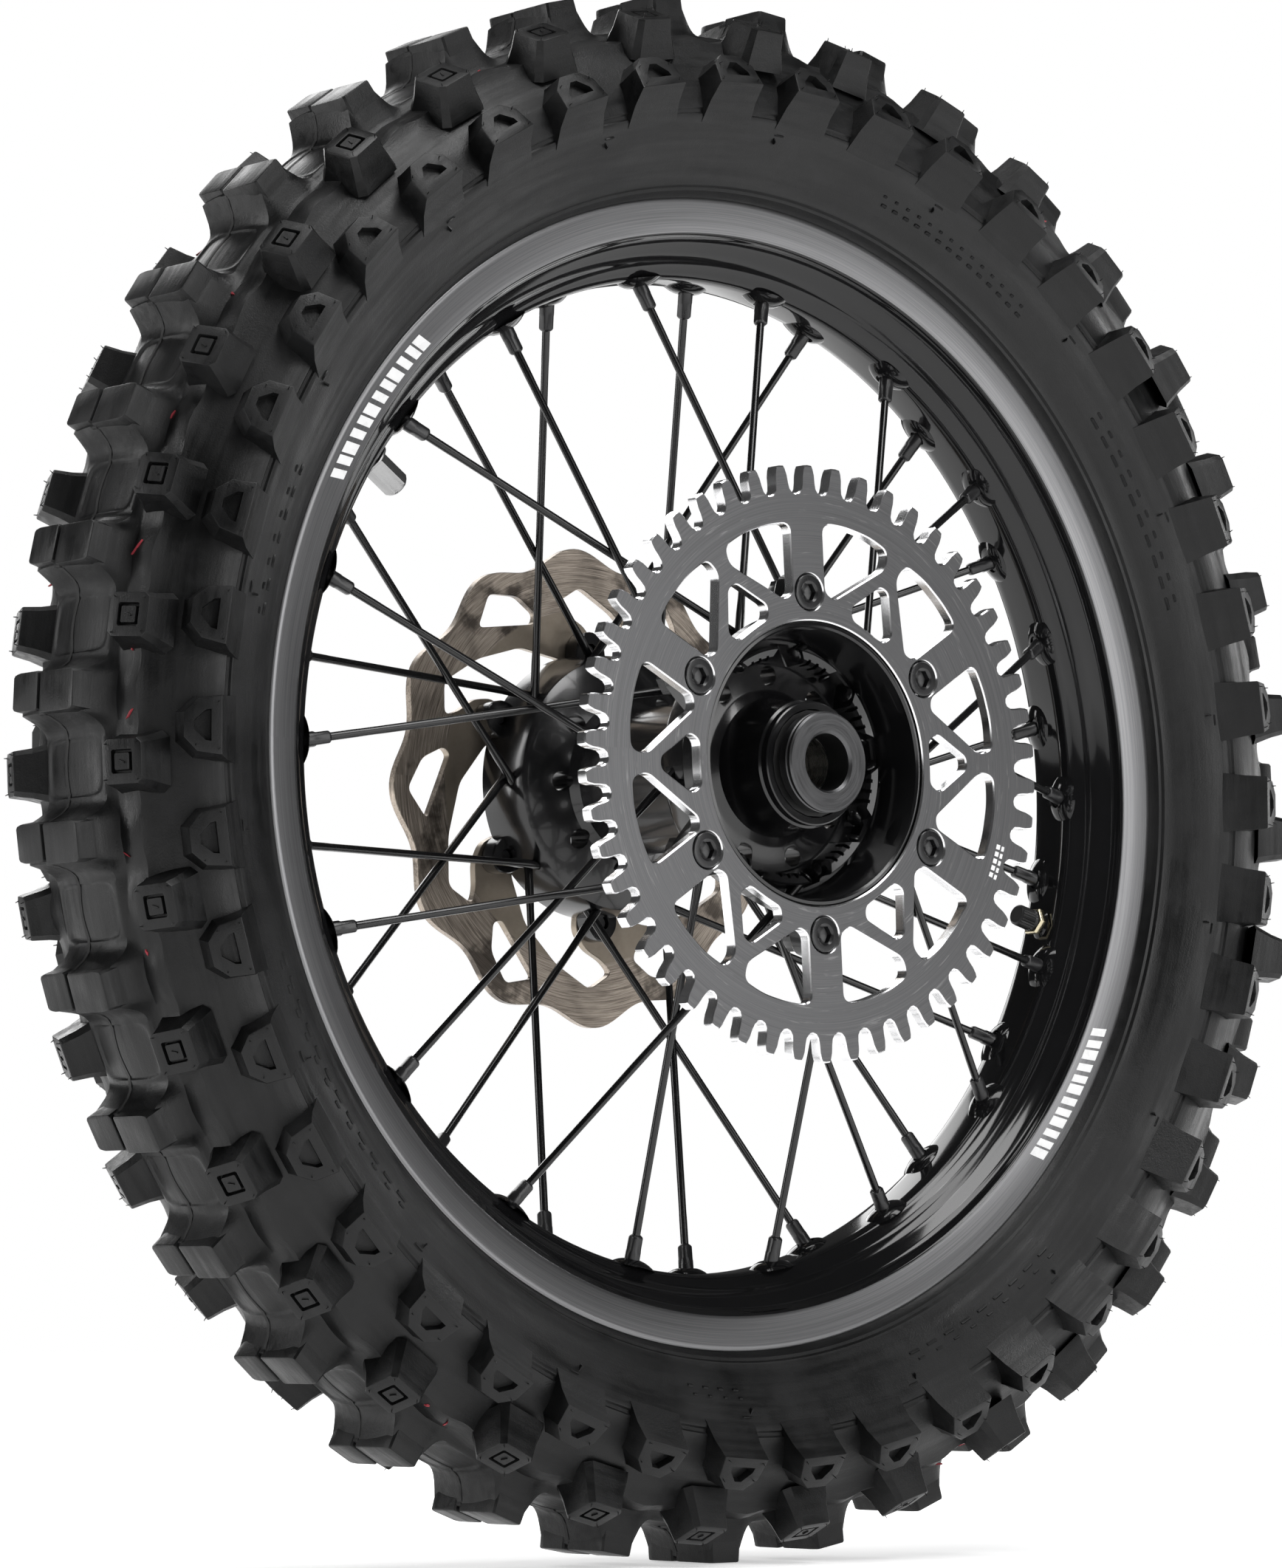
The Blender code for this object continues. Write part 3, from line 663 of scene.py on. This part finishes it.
def shoulder_knobs(shape):
    """House-shaped knobs whose apex points at the crown, with a flank down the sidewall."""
    outlines = [
        [(-14.2, 15.6), (14.2, 15.6), (15, -5), (7.4, -14.5), (-7.4, -14.5), (-15, -5)],
        [(-12.4, 7.4), (12.4, 7.4), (11, -3), (5.2, -8.6), (-5.2, -8.6), (-11, -3)],
        [(-6.6, 2.8), (6.6, 2.8), (6.2, 0.4), (1.8, -4.4), (-1.8, -4.4), (-6.2, 0.4)],
    ]
    for k in range(SHOULDERS):
        angle = TREAD_PHASE + (k + 0.5) * 360 / SHOULDERS
        for side in (-1, 1):
            foot, top, hole = [[(x, side * y) for x, y in points] for points in outlines]
            place = radial_frame(angle, 303.3, side * 50.0, side * 60)
            knob(shape, place, foot, top, 11.2, 10.6, hole, 3.4)
            for x, y in ((-10, 5.6), (10, 5.6), (-8.6, -3.6), (8.6, -3.6)):
                pin(shape, place, x, side * y, 11.0, 1.8)


def side_dash(shape, angle, radius, y, side, width, height, lean=0.0):
    """A low raised mark on the sidewall."""
    slope = math.degrees(math.atan2(6.4, 12.5))
    place = radial_frame(angle, radius, side * y, side * (90 - slope))
    place = place @ Matrix.Rotation(math.radians(lean), 4, "Z")
    outline = oblong(width, height)
    shape.rings([level(outline, -1.2), level(outline, 0.3), level(outline, 0.5, 0.86)], place)


def sidewall_marks(shape):
    """Generic raised dashes where a tyre has its markings, and the small vent corners."""
    for side in (-1, 1):
        for start, count, step, width in ((20, 10, 2.2, 6), (54, 14, 1.5, 3), (290, 9, 2.4, 6),
                                          (200, 12, 2.2, 6), (156, 7, 2.2, 5), (262, 4, 1.8, 3)):
            for i in range(count):
                side_dash(shape, start + i * step, 273, 44.1, side, width, 1.0)
                side_dash(shape, start + i * step + 0.35, 276.5, 45.9, side, width * 0.6, 0.8)
        for i in range(18):
            side_dash(shape, 8 + i * 20, 284.5, 49.3, side, 5.0, 0.6)
            side_dash(shape, 8 + i * 20 + 0.5, 282.6, 48.6, side, 0.6, 4.2)


def tyre():
    shape = Shape()
    carcass(shape)
    crown_blocks(shape)
    side_knobs(shape)
    shoulder_knobs(shape)
    sidewall_marks(shape)
    shape.build("tyre_detailed", [TYRE], "wheel", "tyre_rubber", ["tyre"], 32)


def sipes():
    """The dark cuts that wind along the crown, and a few paint flecks in the grooves."""
    cut = Shape()
    width = math.radians(PITCH) * TREAD_RADIUS
    for k in range(PITCHES):
        def point(i, j):
            u = -22.0 + j * 44 / 16
            y = 3.0 + 1.6 * math.cos(u / 22 * math.pi) + (i - 0.5) * 1.9
            angle = TREAD_PHASE + k * PITCH + math.degrees(u / TREAD_RADIUS)
            return on_wheel(FLOOR_RADIUS + crown_floor(u, y) + 0.2, angle, y)

        cut.grid(2, 17, point)
    cut.build("tyre_sipes", [SOFT], "wheel", "soft_rubber")
    flecks = Shape()
    for _ in range(FLECKS):
        angle = CHANCE.uniform(0, 360)
        u = ((angle - TREAD_PHASE) / PITCH + 0.5) % 1 - 0.5
        y = CHANCE.choice((-1, 1)) * CHANCE.uniform(24, 34)
        radius = FLOOR_RADIUS + crown_floor(u * width, y)
        place = radial_frame(angle, radius + 0.2, y) @ Matrix.Rotation(
            CHANCE.uniform(0, 3), 4, "Z")
        long, thin = CHANCE.uniform(1.2, 5.5), CHANCE.uniform(0.25, 0.7)
        outline = [(-long, 0), (-long * 0.3, -thin), (long, -thin * 0.3), (long * 0.4, thin)]
        flecks.rings([level(outline, -0.6), level(outline, 0.25)], place)
    flecks.build("tyre_flecks", [RED], "wheel", "tyre_rubber")


# ---- rim, spokes, valve, lock


def spoke_line(side, leading, index):
    """The seat of a spoke in the hub and its hole in the rim, side -1 for the sprocket."""
    hole = (0.5 if leading else 19.5) if side < 0 else (30.6 if leading else 9.4)
    angle = hole + PAIR_STEP * index
    turn = SWEEP[side] if leading else -SWEEP[side]
    out = CROSS_SPREAD if leading == (side < 0) else -CROSS_SPREAD
    return (on_wheel(HUB_SEAT, angle + turn, FLANGE_Y[side] + side * out),
            on_wheel(RIM_BED, angle, side * STAGGER))


SPOKE_LINES = [
    spoke_line(side, leading, index)
    for side in (-1, 1) for leading in (True, False) for index in range(PAIRS)
]


def rim():
    half = [
        (229, 9.5), (234, 13.5), (239.5, 18.3), (241.4, 19.8), (241.4, 26.6), (243, 27.9),
        (247, 28.3), (252.5, 28.9), (255.2, 29.3), (256.0, 30.0), (255.9, 31.0), (255.0, 31.45),
        (253.6, 31.4), (247.5, 30.45), (242.0, 29.55), (240.7, 29.1), (239.9, 28.3), (239.5, 27.0),
        (238.6, 24.8), (236.6, 22.6), (233.6, 20.8), (231.4, 19.0), (229.8, 16.6), (228.2, 14.4),
        (225.6, 12.9), (223.6, 11.6), (222.5, 9.6), (222.1, 6.0),
    ]
    outline = half + [(r, -y) for r, y in half[::-1]]
    shape = Shape()
    shape.turned(outline, 216, TO_AXLE)
    for seat, hole in SPOKE_LINES:
        lean = (hole - seat).normalized()
        angle = math.degrees(math.atan2(hole.z, hole.x))
        place = radial_frame(angle, RIM_BED + 0.9, hole.y)
        across = place.inverted().to_3x3() @ lean
        boss(shape, place, across)
    for angle in (VALVE_ANGLE, LOCK_ANGLE):
        boss(shape, radial_frame(angle, RIM_BED + 1.2, 0), Vector((0, 0, 1)), 0.7)
    shape.build("rim_detailed", [RIM], "wheel", "rim_black", ["rim"], 35)


def boss(shape, place, lean, size=1.0):
    """The pressed oval swelling round a nipple hole, which tilts with the spoke."""
    rings = []
    for reach, low in ((1.0, 0.4), (0.9, -0.6), (0.74, -1.9), (0.56, -2.9), (0.42, -3.4),
                       (0.33, -3.5), (0.3, -2.6)):
        ring = []
        for t in turn_angles(28):
            x = 12.4 * size * reach * math.cos(t) + lean.x * -low * 0.8
            y = 8.4 * size * reach * math.sin(t) + lean.y * -low * 0.8
            ring.append((x, y, low))
        rings.append(ring)
    shape.rings(rings, place)


def spoke(shape, nipples, seat, hole):
    length = (hole - seat).length
    place = line_frame(seat, hole)
    end = length - 13.6
    outline = [
        (0.01, -3.5), (2.2, -3.4), (3.4, -2.8), (3.6, -2.2), (2.9, -1.5), (2.05, -0.8), (2.0, 3),
        (2.0, 26), (1.72, 34), (1.72, end - 16), (1.8, end - 12), (1.8, end + 2),
    ]
    shape.turned(outline, 12, place, closed=False)
    flats = []
    for z, size, square in ((end - 0.2, 1.9, 0), (end, 2.3, 0), (end + 0.5, 2.75, 0.6),
                            (end + 1.1, 2.95, 1), (end + 6.6, 3.0, 1), (end + 7.4, 3.35, 0),
                            (end + 12.2, 3.4, 0), (end + 13.4, 3.45, 0), (end + 17, 3.45, 0)):
        ring = []
        for t in turn_angles(20):
            corner = 1 / max(abs(math.cos(t)), abs(math.sin(t)))
            r = size * (1 - square + square * min(corner, 1.16) * 0.93)
            ring.append((r * math.cos(t), r * math.sin(t), z))
        flats.append(ring)
    nipples.rings(flats, place, first=True)


def spokes():
    for side, word in ((-1, "left"), (1, "right")):
        shape, nipples = Shape(), Shape()
        for seat, hole in SPOKE_LINES:
            if (hole.y < 0) == (side < 0):
                spoke(shape, nipples, seat, hole)
        nodes = [f"spoke_pair_{word}_{i + 1}" for i in range(PAIRS)]
        shape.build(f"spokes_{word}", [SPOKE], "wheel", "spoke_black", nodes)
        nipples.build(f"spoke_nipples_{word}", [BOLT], "wheel", "spoke_black")


def threaded(radius, low, high, pitch=0.9, depth=0.35):
    """Outline points of a fine thread."""
    points = []
    z = low
    while z + pitch <= high:
        points += [(radius - depth, z), (radius, z + pitch * 0.5)]
        z += pitch
    return points


def valve():
    place = radial_frame(VALVE_ANGLE, STEM_RADIUS)
    stem = Shape()
    outline = [(0.01, 4), (3.6, 4)] + threaded(3.95, 4.4, 24) + [(3.9, 25), (3.9, 41), (0.01, 41)]
    stem.turned(outline, 28, place, closed=False)
    stem.rings([hex_ring(5.4, 10.4, 24), hex_ring(5.8, 10.9, 24), hex_ring(5.8, 13.2, 24),
                hex_ring(5.4, 13.7, 24)], place, first=True)
    stem.build("valve_stem_detailed", [BRASS], "wheel", "valve_brass", ["valve_stem"])
    cap = Shape()
    rings = []
    for z, size, rib in ((0, 3.0, 0), (0.05, 4.0, 0), (0.7, 4.8, 0), (1.3, 5.0, 0.45),
                         (8.6, 5.05, 0.45), (9.2, 5.2, 0), (10, 5.2, 0), (10.2, 4.4, 0)):
        rings.append([
            ((size - rib * (i % 2)) * math.cos(t), (size - rib * (i % 2)) * math.sin(t), z)
            for i, t in enumerate(turn_angles(48))
        ])
    cap.rings(rings, place, first=True)
    cap.build("valve_cap_ribbed", [PLASTIC], "wheel", "black_plastic", ["valve_cap"], 25)


def hex_ring(radius, z, steps, rounding=0.0):
    """A hexagon as a ring of steps points, radius being half its width across flats."""
    ring = []
    for t in turn_angles(steps):
        flat = radius / math.cos((t + math.pi / 6) % (math.pi / 3) - math.pi / 6)
        r = flat * (1 - rounding) + radius * rounding
        ring.append((r * math.cos(t), r * math.sin(t), z))
    return ring


def rim_lock():
    place = radial_frame(LOCK_ANGLE, STEM_RADIUS)
    nut = Shape()
    nut.rings([hex_ring(0.6, -4.6, 36), hex_ring(3.0, -4.6, 36, 1), hex_ring(4.4, -4.2, 36, 1),
               hex_ring(5.3, -3.4, 36, 0.6), hex_ring(5.35, -2.6, 36), hex_ring(5.35, 12.6, 36),
               hex_ring(5.2, 13.2, 36, 0.7), hex_ring(4.6, 13.4, 36, 1)], place, first=True)
    nut.build("rim_lock_nut_detailed", [BRIGHT], "wheel", "bright_steel", ["rim_lock_nut"], 25)
    washer = Shape()
    washer.turned(soft([(4.4, 13.7), (8.5, 13.7), (8.5, 14.8), (4.4, 14.8)], 0.35, 2), 40, place)
    washer.build("rim_lock_washer_detailed", [BRIGHT], "wheel", "bright_steel",
                 ["rim_lock_washer"])


def rim_marks():
    """Plain slanted white bars on the flange."""
    shape = Shape()
    for start, end in ((134.5, 153.5), (317.0, 334.5)):
        count = 12
        step = (end - start) / count
        for i in range(count):
            a = start + i * step
            wide = step * (0.62 if i % 3 else 0.8)
            corners = [(244.0, a), (244.0, a + wide), (251.2, a + wide + 0.7), (251.2, a + 0.7)]
            for y in (-30.15, -29.6):
                shape.verts += [on_wheel(r, t, y - (r - 244) * 0.158) for r, t in corners]
            b = len(shape.verts) - 8
            shape.faces += [(b, b + 1, b + 2, b + 3), (b + 7, b + 6, b + 5, b + 4)]
            shape.faces += [
                (b + j, b + 4 + j, b + 4 + (j + 1) % 4, b + (j + 1) % 4) for j in range(4)
            ]
    shape.build("rim_bars", [WHITE], "wheel", "rim_black")


# ---- hub


def combine(obj, name, shape, operation):
    """Joins a shape to obj, or cuts it out, as a helper object that then goes."""
    other = shape.plain(name)
    change = obj.modifiers.new(operation.title(), "BOOLEAN")
    change.operation = operation
    change.solver = "EXACT"
    change.object = other
    graph = bpy.context.evaluated_depsgraph_get()
    mesh = bpy.data.meshes.new_from_object(obj.evaluated_get(graph))
    obj.modifiers.clear()
    obj.data = mesh
    bpy.data.objects.remove(other, do_unlink=True)


def block(shape, place, x, y, z, top=1.0):
    outline = soft(oblong(x, y), 1.2, 2)
    shape.rings([level(outline, 0), level([(a * top, b) for a, b in outline], z)], place,
                first=True)


def rod(shape, place, radius, low, high, steps=24):
    ring = circle(radius, steps)
    shape.rings([level(ring, low), level(ring, high)], place, first=True)


def hub():
    spigot = SPROCKET_BORE - 0.6
    behind = SPROCKET_FACE + SPROCKET_THICKNESS + GAP
    outline = [
        (23.8, -83), (26.6, -83), (27.2, -82.6), (27.2, -79.2), (28.2, -78.4), (28.2, -66),
        (28.9, -59), (30.8, -55.2), (34, -53.2), (35.4, -52.6), (45.8, -52.6), (46.6, -53.6),
        (47.2, -64.6), (48.6, -66.4), (51.6, -67.4), (52.4, -66.8), (52.8, -60.5), (53.6, -60),
        (56, -60), (56.6, -60.8), (57.4, -67), (59, -72),
        (59.8, SPROCKET_FACE + 2.0), (60.6, SPROCKET_FACE + 1.0),
        (spigot, SPROCKET_FACE + 1.3), (spigot, behind), (66, behind), (66.4, behind + 0.5),
        (66.4, -73), (65.6, -71.6), (59.4, -68), (58.2, -66), (58.2, -51), (57, -48.2),
        (53.6, -45.9), (36.4, -40.6), (33.6, -37.2), (33, -32), (33, 32), (33.8, 38),
        (37, 41.6), (53.6, 46.8), (57.4, 49.4), (58.4, 52.2), (60.2, 66), (60.4, 74.6),
        (59.8, DISC_FACE - GAP), (48.4, DISC_FACE - GAP), (47.6, 74.4), (46.6, 56),
        (45, 54), (30.4, 54), (28.6, 56), (28.6, 78), (27.2, 78.8), (27.2, 81.6), (26.6, 82),
        (23.8, 82),
    ]
    outline += [(23.8, 63.7), (21, 63.7), (21, -65.7), (23.8, -65.7)]
    body = Shape()
    body.turned(outline, 144, TO_AXLE)
    obj = body.plain("hub_detailed")
    lugs = Shape()
    for k in range(6):
        angle = BOLT_PHASE + 60 * k
        lug = [(-16, -13), (0, -9), (7.5, -6.5), (9.5, 0), (7.5, 6.5), (0, 9), (-16, 13)]
        lug = soft(lug, 3, 3)
        lugs.rings([level(lug, behind + 0.05), level(lug, behind + 7.2),
                    level(lug, behind + LUG_THICKNESS, 0.95)],
                   axle_frame(SPROCKET_BOLTS, angle), first=True)
        tab = soft([(-9, -9), (3, -8), (8.6, -3), (8.6, 3), (3, 8), (-9, 9)], 3, 3)
        lugs.rings([level(tab, 66.8, 0.94), level(tab, 67.6), level(tab, DISC_FACE - 0.35)],
                   axle_frame(DISC_BOLTS, angle), first=True)
    combine(obj, "lugs", lugs, "UNION")
    pockets = Shape()
    slant = math.tan(math.radians(30))
    for first, half_angle, y in ((10, 8, -62.5), (0, 11.4, 63.3)):
        outward, sideways = polar(HUB_SEAT, half_angle)
        half_width = sideways + 0.3 + (outward - 44) * slant
        top = 1 - 10.5 * slant / half_width
        for k in range(PAIRS):
            block(pockets, radial_frame(first + PAIR_STEP * k, 44, y), 2 * half_width, 18, 10.5,
                  top)
    combine(obj, "pockets", pockets, "DIFFERENCE")
    ribs = Shape()
    for k in range(PAIRS):
        for turn_by in (-5.5, 0.0, 5.5):
            place = radial_frame(30 + PAIR_STEP * k + turn_by, 45.9, -63)
            block(ribs, place, 1.8, 8, 3.4)
    combine(obj, "ribs", ribs, "DIFFERENCE")
    holes = Shape()
    for k in range(PAIRS):
        rod(holes, axle_frame(41, 10 + PAIR_STEP * k), 4.5, -56, -38)
        rod(holes, axle_frame(40.2, 22 + PAIR_STEP * k), 4.5, 38, 58)
    for k in range(6):
        angle = BOLT_PHASE + 60 * k
        rod(holes, axle_frame(SPROCKET_BOLTS, angle), 4.2, -84, -66)
        rod(holes, axle_frame(DISC_BOLTS, angle), 3.2, 64, 78)
    combine(obj, "holes", holes, "DIFFERENCE")
    for leading in (True, False):
        bores = Shape()
        for side in (-1, 1):
            for index in range(PAIRS):
                seat, hole = spoke_line(side, leading, index)
                rod(bores, line_frame(seat, hole), 2.3, -3, 15, 12)
        combine(obj, "bores", bores, "DIFFERENCE")
    obj.data.materials.clear()
    obj.data.materials.append(HUB)
    finish_piece(obj, "wheel", ["hub"], 28)
    edge = obj.modifiers.new("Edges", "BEVEL")
    edge.width = 0.35 * MM
    edge.segments = 1
    edge.limit_method = "ANGLE"
    edge.angle_limit = math.radians(40)


# ---- sprocket and disc


def sprocket():
    tooth = [(130.7, -2.55), (129.2, -2.2), (126.4, -1.86), (123.2, -1.72), (120.4, -1.46),
             (118.8, -0.86), (118.3, 0.0), (118.8, 0.86), (120.4, 1.46), (123.2, 1.72),
             (126.4, 1.86), (129.2, 2.2), (130.7, 2.55), (130.9, 3.6)]
    step = 360 / TEETH
    edge = [polar(r, TOOTH_PHASE + k * step + a) for k in range(TEETH) for r, a in tooth]
    outlines = [edge, circle(SPROCKET_BORE, 120)]
    big = [(105.6, 5.2), (106.2, 12), (106.2, 20), (105, 26.6), (97, 27.6), (73, 11.2),
           (75.5, 7.3)]
    small = [(67.6, 21.7), (67.2, 30), (67.6, 38.3), (73, 40.2), (88.5, 31.6), (88.5, 28.4),
             (73, 19.8)]
    for k in range(6):
        bolt = BOLT_PHASE + 60 * k
        for way in (1, -1):
            outlines.append(soft([polar(r, bolt + way * a) for r, a in big], 5, 5))
        outlines.append(soft([polar(r, bolt + a) for r, a in small], 4, 5))
        outlines.append(circle(8.1, 40, polar(SPROCKET_BOLTS, bolt)))
    middle = SPROCKET_FACE + SPROCKET_THICKNESS / 2
    flat_plate("sprocket_detailed", outlines, SPROCKET_THICKNESS, middle, 0.7, [SPROCKET],
               "wheel", "sprocket_alloy", ["sprocket"], 30)
    sinks = Shape()
    for k in range(6):
        place = axle_frame(SPROCKET_BOLTS, BOLT_PHASE + 60 * k, SPROCKET_FACE, -1)
        sinks.turned([(8.9, -0.5), (8.9, -0.08), (8.55, -0.3), (7.9, -1.0), (4.4, -4.2),
                      (4.4, -6.0), (8.9, -6.0)], 48, place)
    sinks.build("sprocket_countersinks", [SPROCKET], "wheel", "sprocket_alloy")
    marks = Shape()
    for i in range(5):
        angle = BOLT_PHASE - 60 + 3.6 + i * 1.7
        for r, size in ((112.2, 1.0), (115.0, 0.7)):
            place = axle_frame(r, angle, SPROCKET_FACE, -1)
            wide = 1.1 * size
            outline = [(-wide, -1.2), (wide, -1.0), (wide, 1.2), (-wide, 1)]
            marks.rings([level(outline, -0.3), level(outline, 0.04)], place)
    marks.build("sprocket_marks", [WHITE], "wheel", "sprocket_alloy")


def socket_head(shape, place, rim_radius, crown, socket, depth, shank, reach):
    """A screw with a hexagon socket, its head's face at local Z 0."""
    outline = [
        (shank * 0.8, -reach), (shank, -reach + 0.8), (shank, -crown - 3), (rim_radius, -crown),
        (rim_radius + 0.02, -0.45), (rim_radius - 0.3, -0.1), (rim_radius - 0.8, 0.0),
        (socket + 1.3, 0.0), (socket + 0.9, -0.25),
    ]
    rings = [level(circle(r, 36), z) for r, z in outline]
    rings += [hex_ring(socket, -0.7, 36), hex_ring(socket, -depth, 36)]
    rings.append(hex_ring(socket * 0.3, -depth - 0.8, 36))
    shape.rings(rings, place, first=True)


def fasteners():
    seat = SPROCKET_FACE + SPROCKET_THICKNESS + GAP + LUG_THICKNESS + GAP
    for k in range(6):
        angle = BOLT_PHASE + 60 * k
        bolt = Shape()
        socket_head(bolt, axle_frame(SPROCKET_BOLTS, angle, SPROCKET_FACE - 0.1, -1), 7.7, 0.9,
                    3.6, 3.4, 4.0, 22)
        bolt.build(f"sprocket_screw_{k + 1}", [BOLT], "wheel", "bolt_black",
                   [f"sprocket_bolt_{k + 1}"], 30)
        nut = Shape()
        place = axle_frame(SPROCKET_BOLTS, angle, seat)
        nut.rings([hex_ring(4.3, 0.1, 36, 1), hex_ring(6.2, 0, 36, 1), hex_ring(6.45, 0.5, 36),
                   hex_ring(6.45, 6.3, 36), hex_ring(6.2, 7, 36, 1), hex_ring(4.3, 6.9, 36, 1)],
                  place, first=True)
        nut.build(f"sprocket_hex_nut_{k + 1}", [BOLT], "wheel", "bolt_black",
                  [f"sprocket_nut_{k + 1}"], 30)
        screw = Shape()
        socket_head(screw, axle_frame(DISC_BOLTS, angle, DISC_FACE + DISC_THICKNESS + 3.7), 5.5,
                    3.3, 2.2, 2.2, 3.0, 15)
        screw.build(f"disc_screw_{k + 1}", [BOLT], "wheel", "bolt_black", [f"disc_bolt_{k + 1}"],
                    30)


def brake_disc():
    waves = []
    steps = DISC_WAVES * 24
    for i in range(steps):
        turn = i * 360 / steps
        lift = (1 + math.cos(math.radians(DISC_WAVES * turn))) / 2
        waves.append(polar(102.6 + 7.3 * lift, BOLT_PHASE + turn))
    arm = [(55, -8), (55, 8), (60, 11), (72.5, 28), (83, 45), (92.3, 58.5), (86, 67.3),
           (80, 64.5), (74, 57), (66, 52)]
    inner = [polar(r, BOLT_PHASE + k * 60 + a) for k in range(6) for r, a in arm]
    outlines = [waves, soft(inner, 3.5, 4)]
    window = [(102, 30), (93, 38.5), (79, 19), (83, 17), (94, 21.5)]
    for k in range(6):
        tab = BOLT_PHASE + 60 * k
        outlines.append(soft([polar(r, tab + a) for r, a in window], 3.2, 5))
        outlines.append(circle(3.4, 24, polar(DISC_BOLTS, tab)))
    flat_plate("brake_disc_detailed", outlines, DISC_THICKNESS, DISC_FACE + DISC_THICKNESS / 2,
               0.25, [DISC], "wheel", "disc_steel", ["brake_disc"], 30)


def spacers():
    for word, race, collar, end in (("left", -78.3, -84.3, -92.8), ("right", 76.3, 83.0, 91.5)):
        way = -1 if word == "left" else 1
        outline = [
            (BORE_RADIUS, race), (18.4, race), (18.4, collar + way * 0.4),
            (21.4, collar + way * 0.4), (SPACER_RADIUS, collar + way * 1.1),
            (SPACER_RADIUS, end - way * 3.4), (21.5, end - way * 3.0), (21.5, end - way * 2.4),
            (SPACER_RADIUS, end - way * 2.0), (SPACER_RADIUS, end - way * 0.8),
            (21.3, end), (13.8, end), (BORE_RADIUS, end - way * 1.2),
        ]
        shape = Shape()
        shape.turned(outline, 96, TO_AXLE)
        shape.build(f"spacer_{word}_turned", [SPACER], "axle_stack", "spacer_alloy",
                    [f"axle_spacer_{word}"], 30)


def dress_cad_nodes():
    """The CAD nodes that stay get a procedural material."""
    looks = {"inner_tube": SOFT, "rim_band": SOFT, "rim_lock": PLASTIC, "distance_tube": BEARING}
    for word in ("left", "right"):
        looks[f"bearing_seal_{word}"] = SOFT
        looks[f"bearing_outer_race_{word}"] = BEARING
        looks[f"bearing_inner_race_{word}"] = BEARING
        looks[f"ball_cage_{word}"] = BEARING
    for name, look in looks.items():
        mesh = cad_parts[name].data
        mesh.materials.clear()
        mesh.materials.append(look)


# ---- studio


def floor():
    mesh = bpy.data.meshes.new("studio_floor")
    z = cad_box[0].z
    mesh.from_pydata([(-9, -9, z), (9, -9, z), (9, 9, z), (-9, 9, z)], [], [(0, 1, 2, 3)])
    obj = linked("studio_floor", mesh)
    look = Look("studio_floor_paint", 0.9, Specular_IOR_Level=0.1)
    look.colour(look.mix(look.noise(3.0, 3.0), (0.86, 0.86, 0.86), (0.9, 0.9, 0.9)))
    look.shader.inputs["Emission Color"].default_value = (1, 1, 1, 1)
    far = look.math("SQRT", look.math("ADD", *[
        look.math("MULTIPLY", part, part)
        for part in look.node("SeparateXYZ", {0: look.place}).outputs[:2]
    ]))
    look.feed("Emission Strength", look.range(far, 0.8, 3.0, 0.5, 1.0))
    mesh.materials.append(look.material)


def direction(azimuth, elevation):
    """From the wheel's centre; azimuth 0 is the sprocket side."""
    a, e = math.radians(azimuth), math.radians(elevation)
    return Vector((math.sin(a) * math.cos(e), -math.cos(a) * math.cos(e), math.sin(e)))


def softbox(name, azimuth, elevation, distance, width, height, power):
    """A large area light that faces the wheel's centre."""
    back = direction(azimuth, elevation)
    light = bpy.data.lights.new(name, "AREA")
    light.shape = "RECTANGLE"
    light.size = width
    light.size_y = height
    light.energy = power
    obj = linked(name, light)
    obj.location = back * distance
    obj.rotation_euler = (-back).to_track_quat("-Z", "Y").to_euler()


def studio():
    world = bpy.data.worlds.new("studio")
    world.use_nodes = True
    nodes, links = world.node_tree.nodes, world.node_tree.links
    seen = nodes["Background"]
    seen.inputs[0].default_value = (1, 1, 1, 1)
    seen.inputs[1].default_value = 1.0
    ambient = nodes.new("ShaderNodeBackground")
    ambient.inputs[0].default_value = (1, 1, 1, 1)
    ambient.inputs[1].default_value = 0.05
    path = nodes.new("ShaderNodeLightPath")
    both = nodes.new("ShaderNodeMixShader")
    links.new(path.outputs["Is Camera Ray"], both.inputs[0])
    links.new(ambient.outputs[0], both.inputs[1])
    links.new(seen.outputs[0], both.inputs[2])
    links.new(both.outputs[0], nodes["World Output"].inputs[0])
    bpy.context.scene.world = world
    bpy.context.scene.view_settings.view_transform = "Standard"
    softbox("key_right", 16, 10, 3.4, 1.7, 2.6, 46)
    softbox("high_right", 5, 52, 3.2, 1.2, 1.0, 30)
    softbox("fill_left", -118, 14, 3.2, 0.8, 2.6, 42)
    softbox("top", -40, 80, 2.8, 2.4, 1.2, 52)
    softbox("back_left", 165, 25, 3.4, 1.6, 2.2, 40)
    softbox("back_right", 88, 8, 3.4, 0.5, 2.6, 36)
    softbox("low_left", -75, -20, 3.0, 1.6, 0.6, 7)


def camera():
    data = bpy.data.cameras.new("camera")
    data.sensor_width = 36
    data.lens = 133.65
    obj = linked("camera", data)
    azimuth = -39.634
    back = direction(azimuth, -5.083)
    turn = math.radians(azimuth)
    right = Vector((math.cos(turn), math.sin(turn), 0))
    basis = Matrix((right, back.cross(right), back)).transposed().to_4x4()
    obj.matrix_world = Matrix.Translation((-1.67315, -1.98461, -0.23425)) @ basis
    bpy.context.scene.camera = obj


camera()
floor()
studio()
tyre()
sipes()
rim()
rim_marks()
spokes()
valve()
rim_lock()
hub()
sprocket()
brake_disc()
fasteners()
spacers()
dress_cad_nodes()
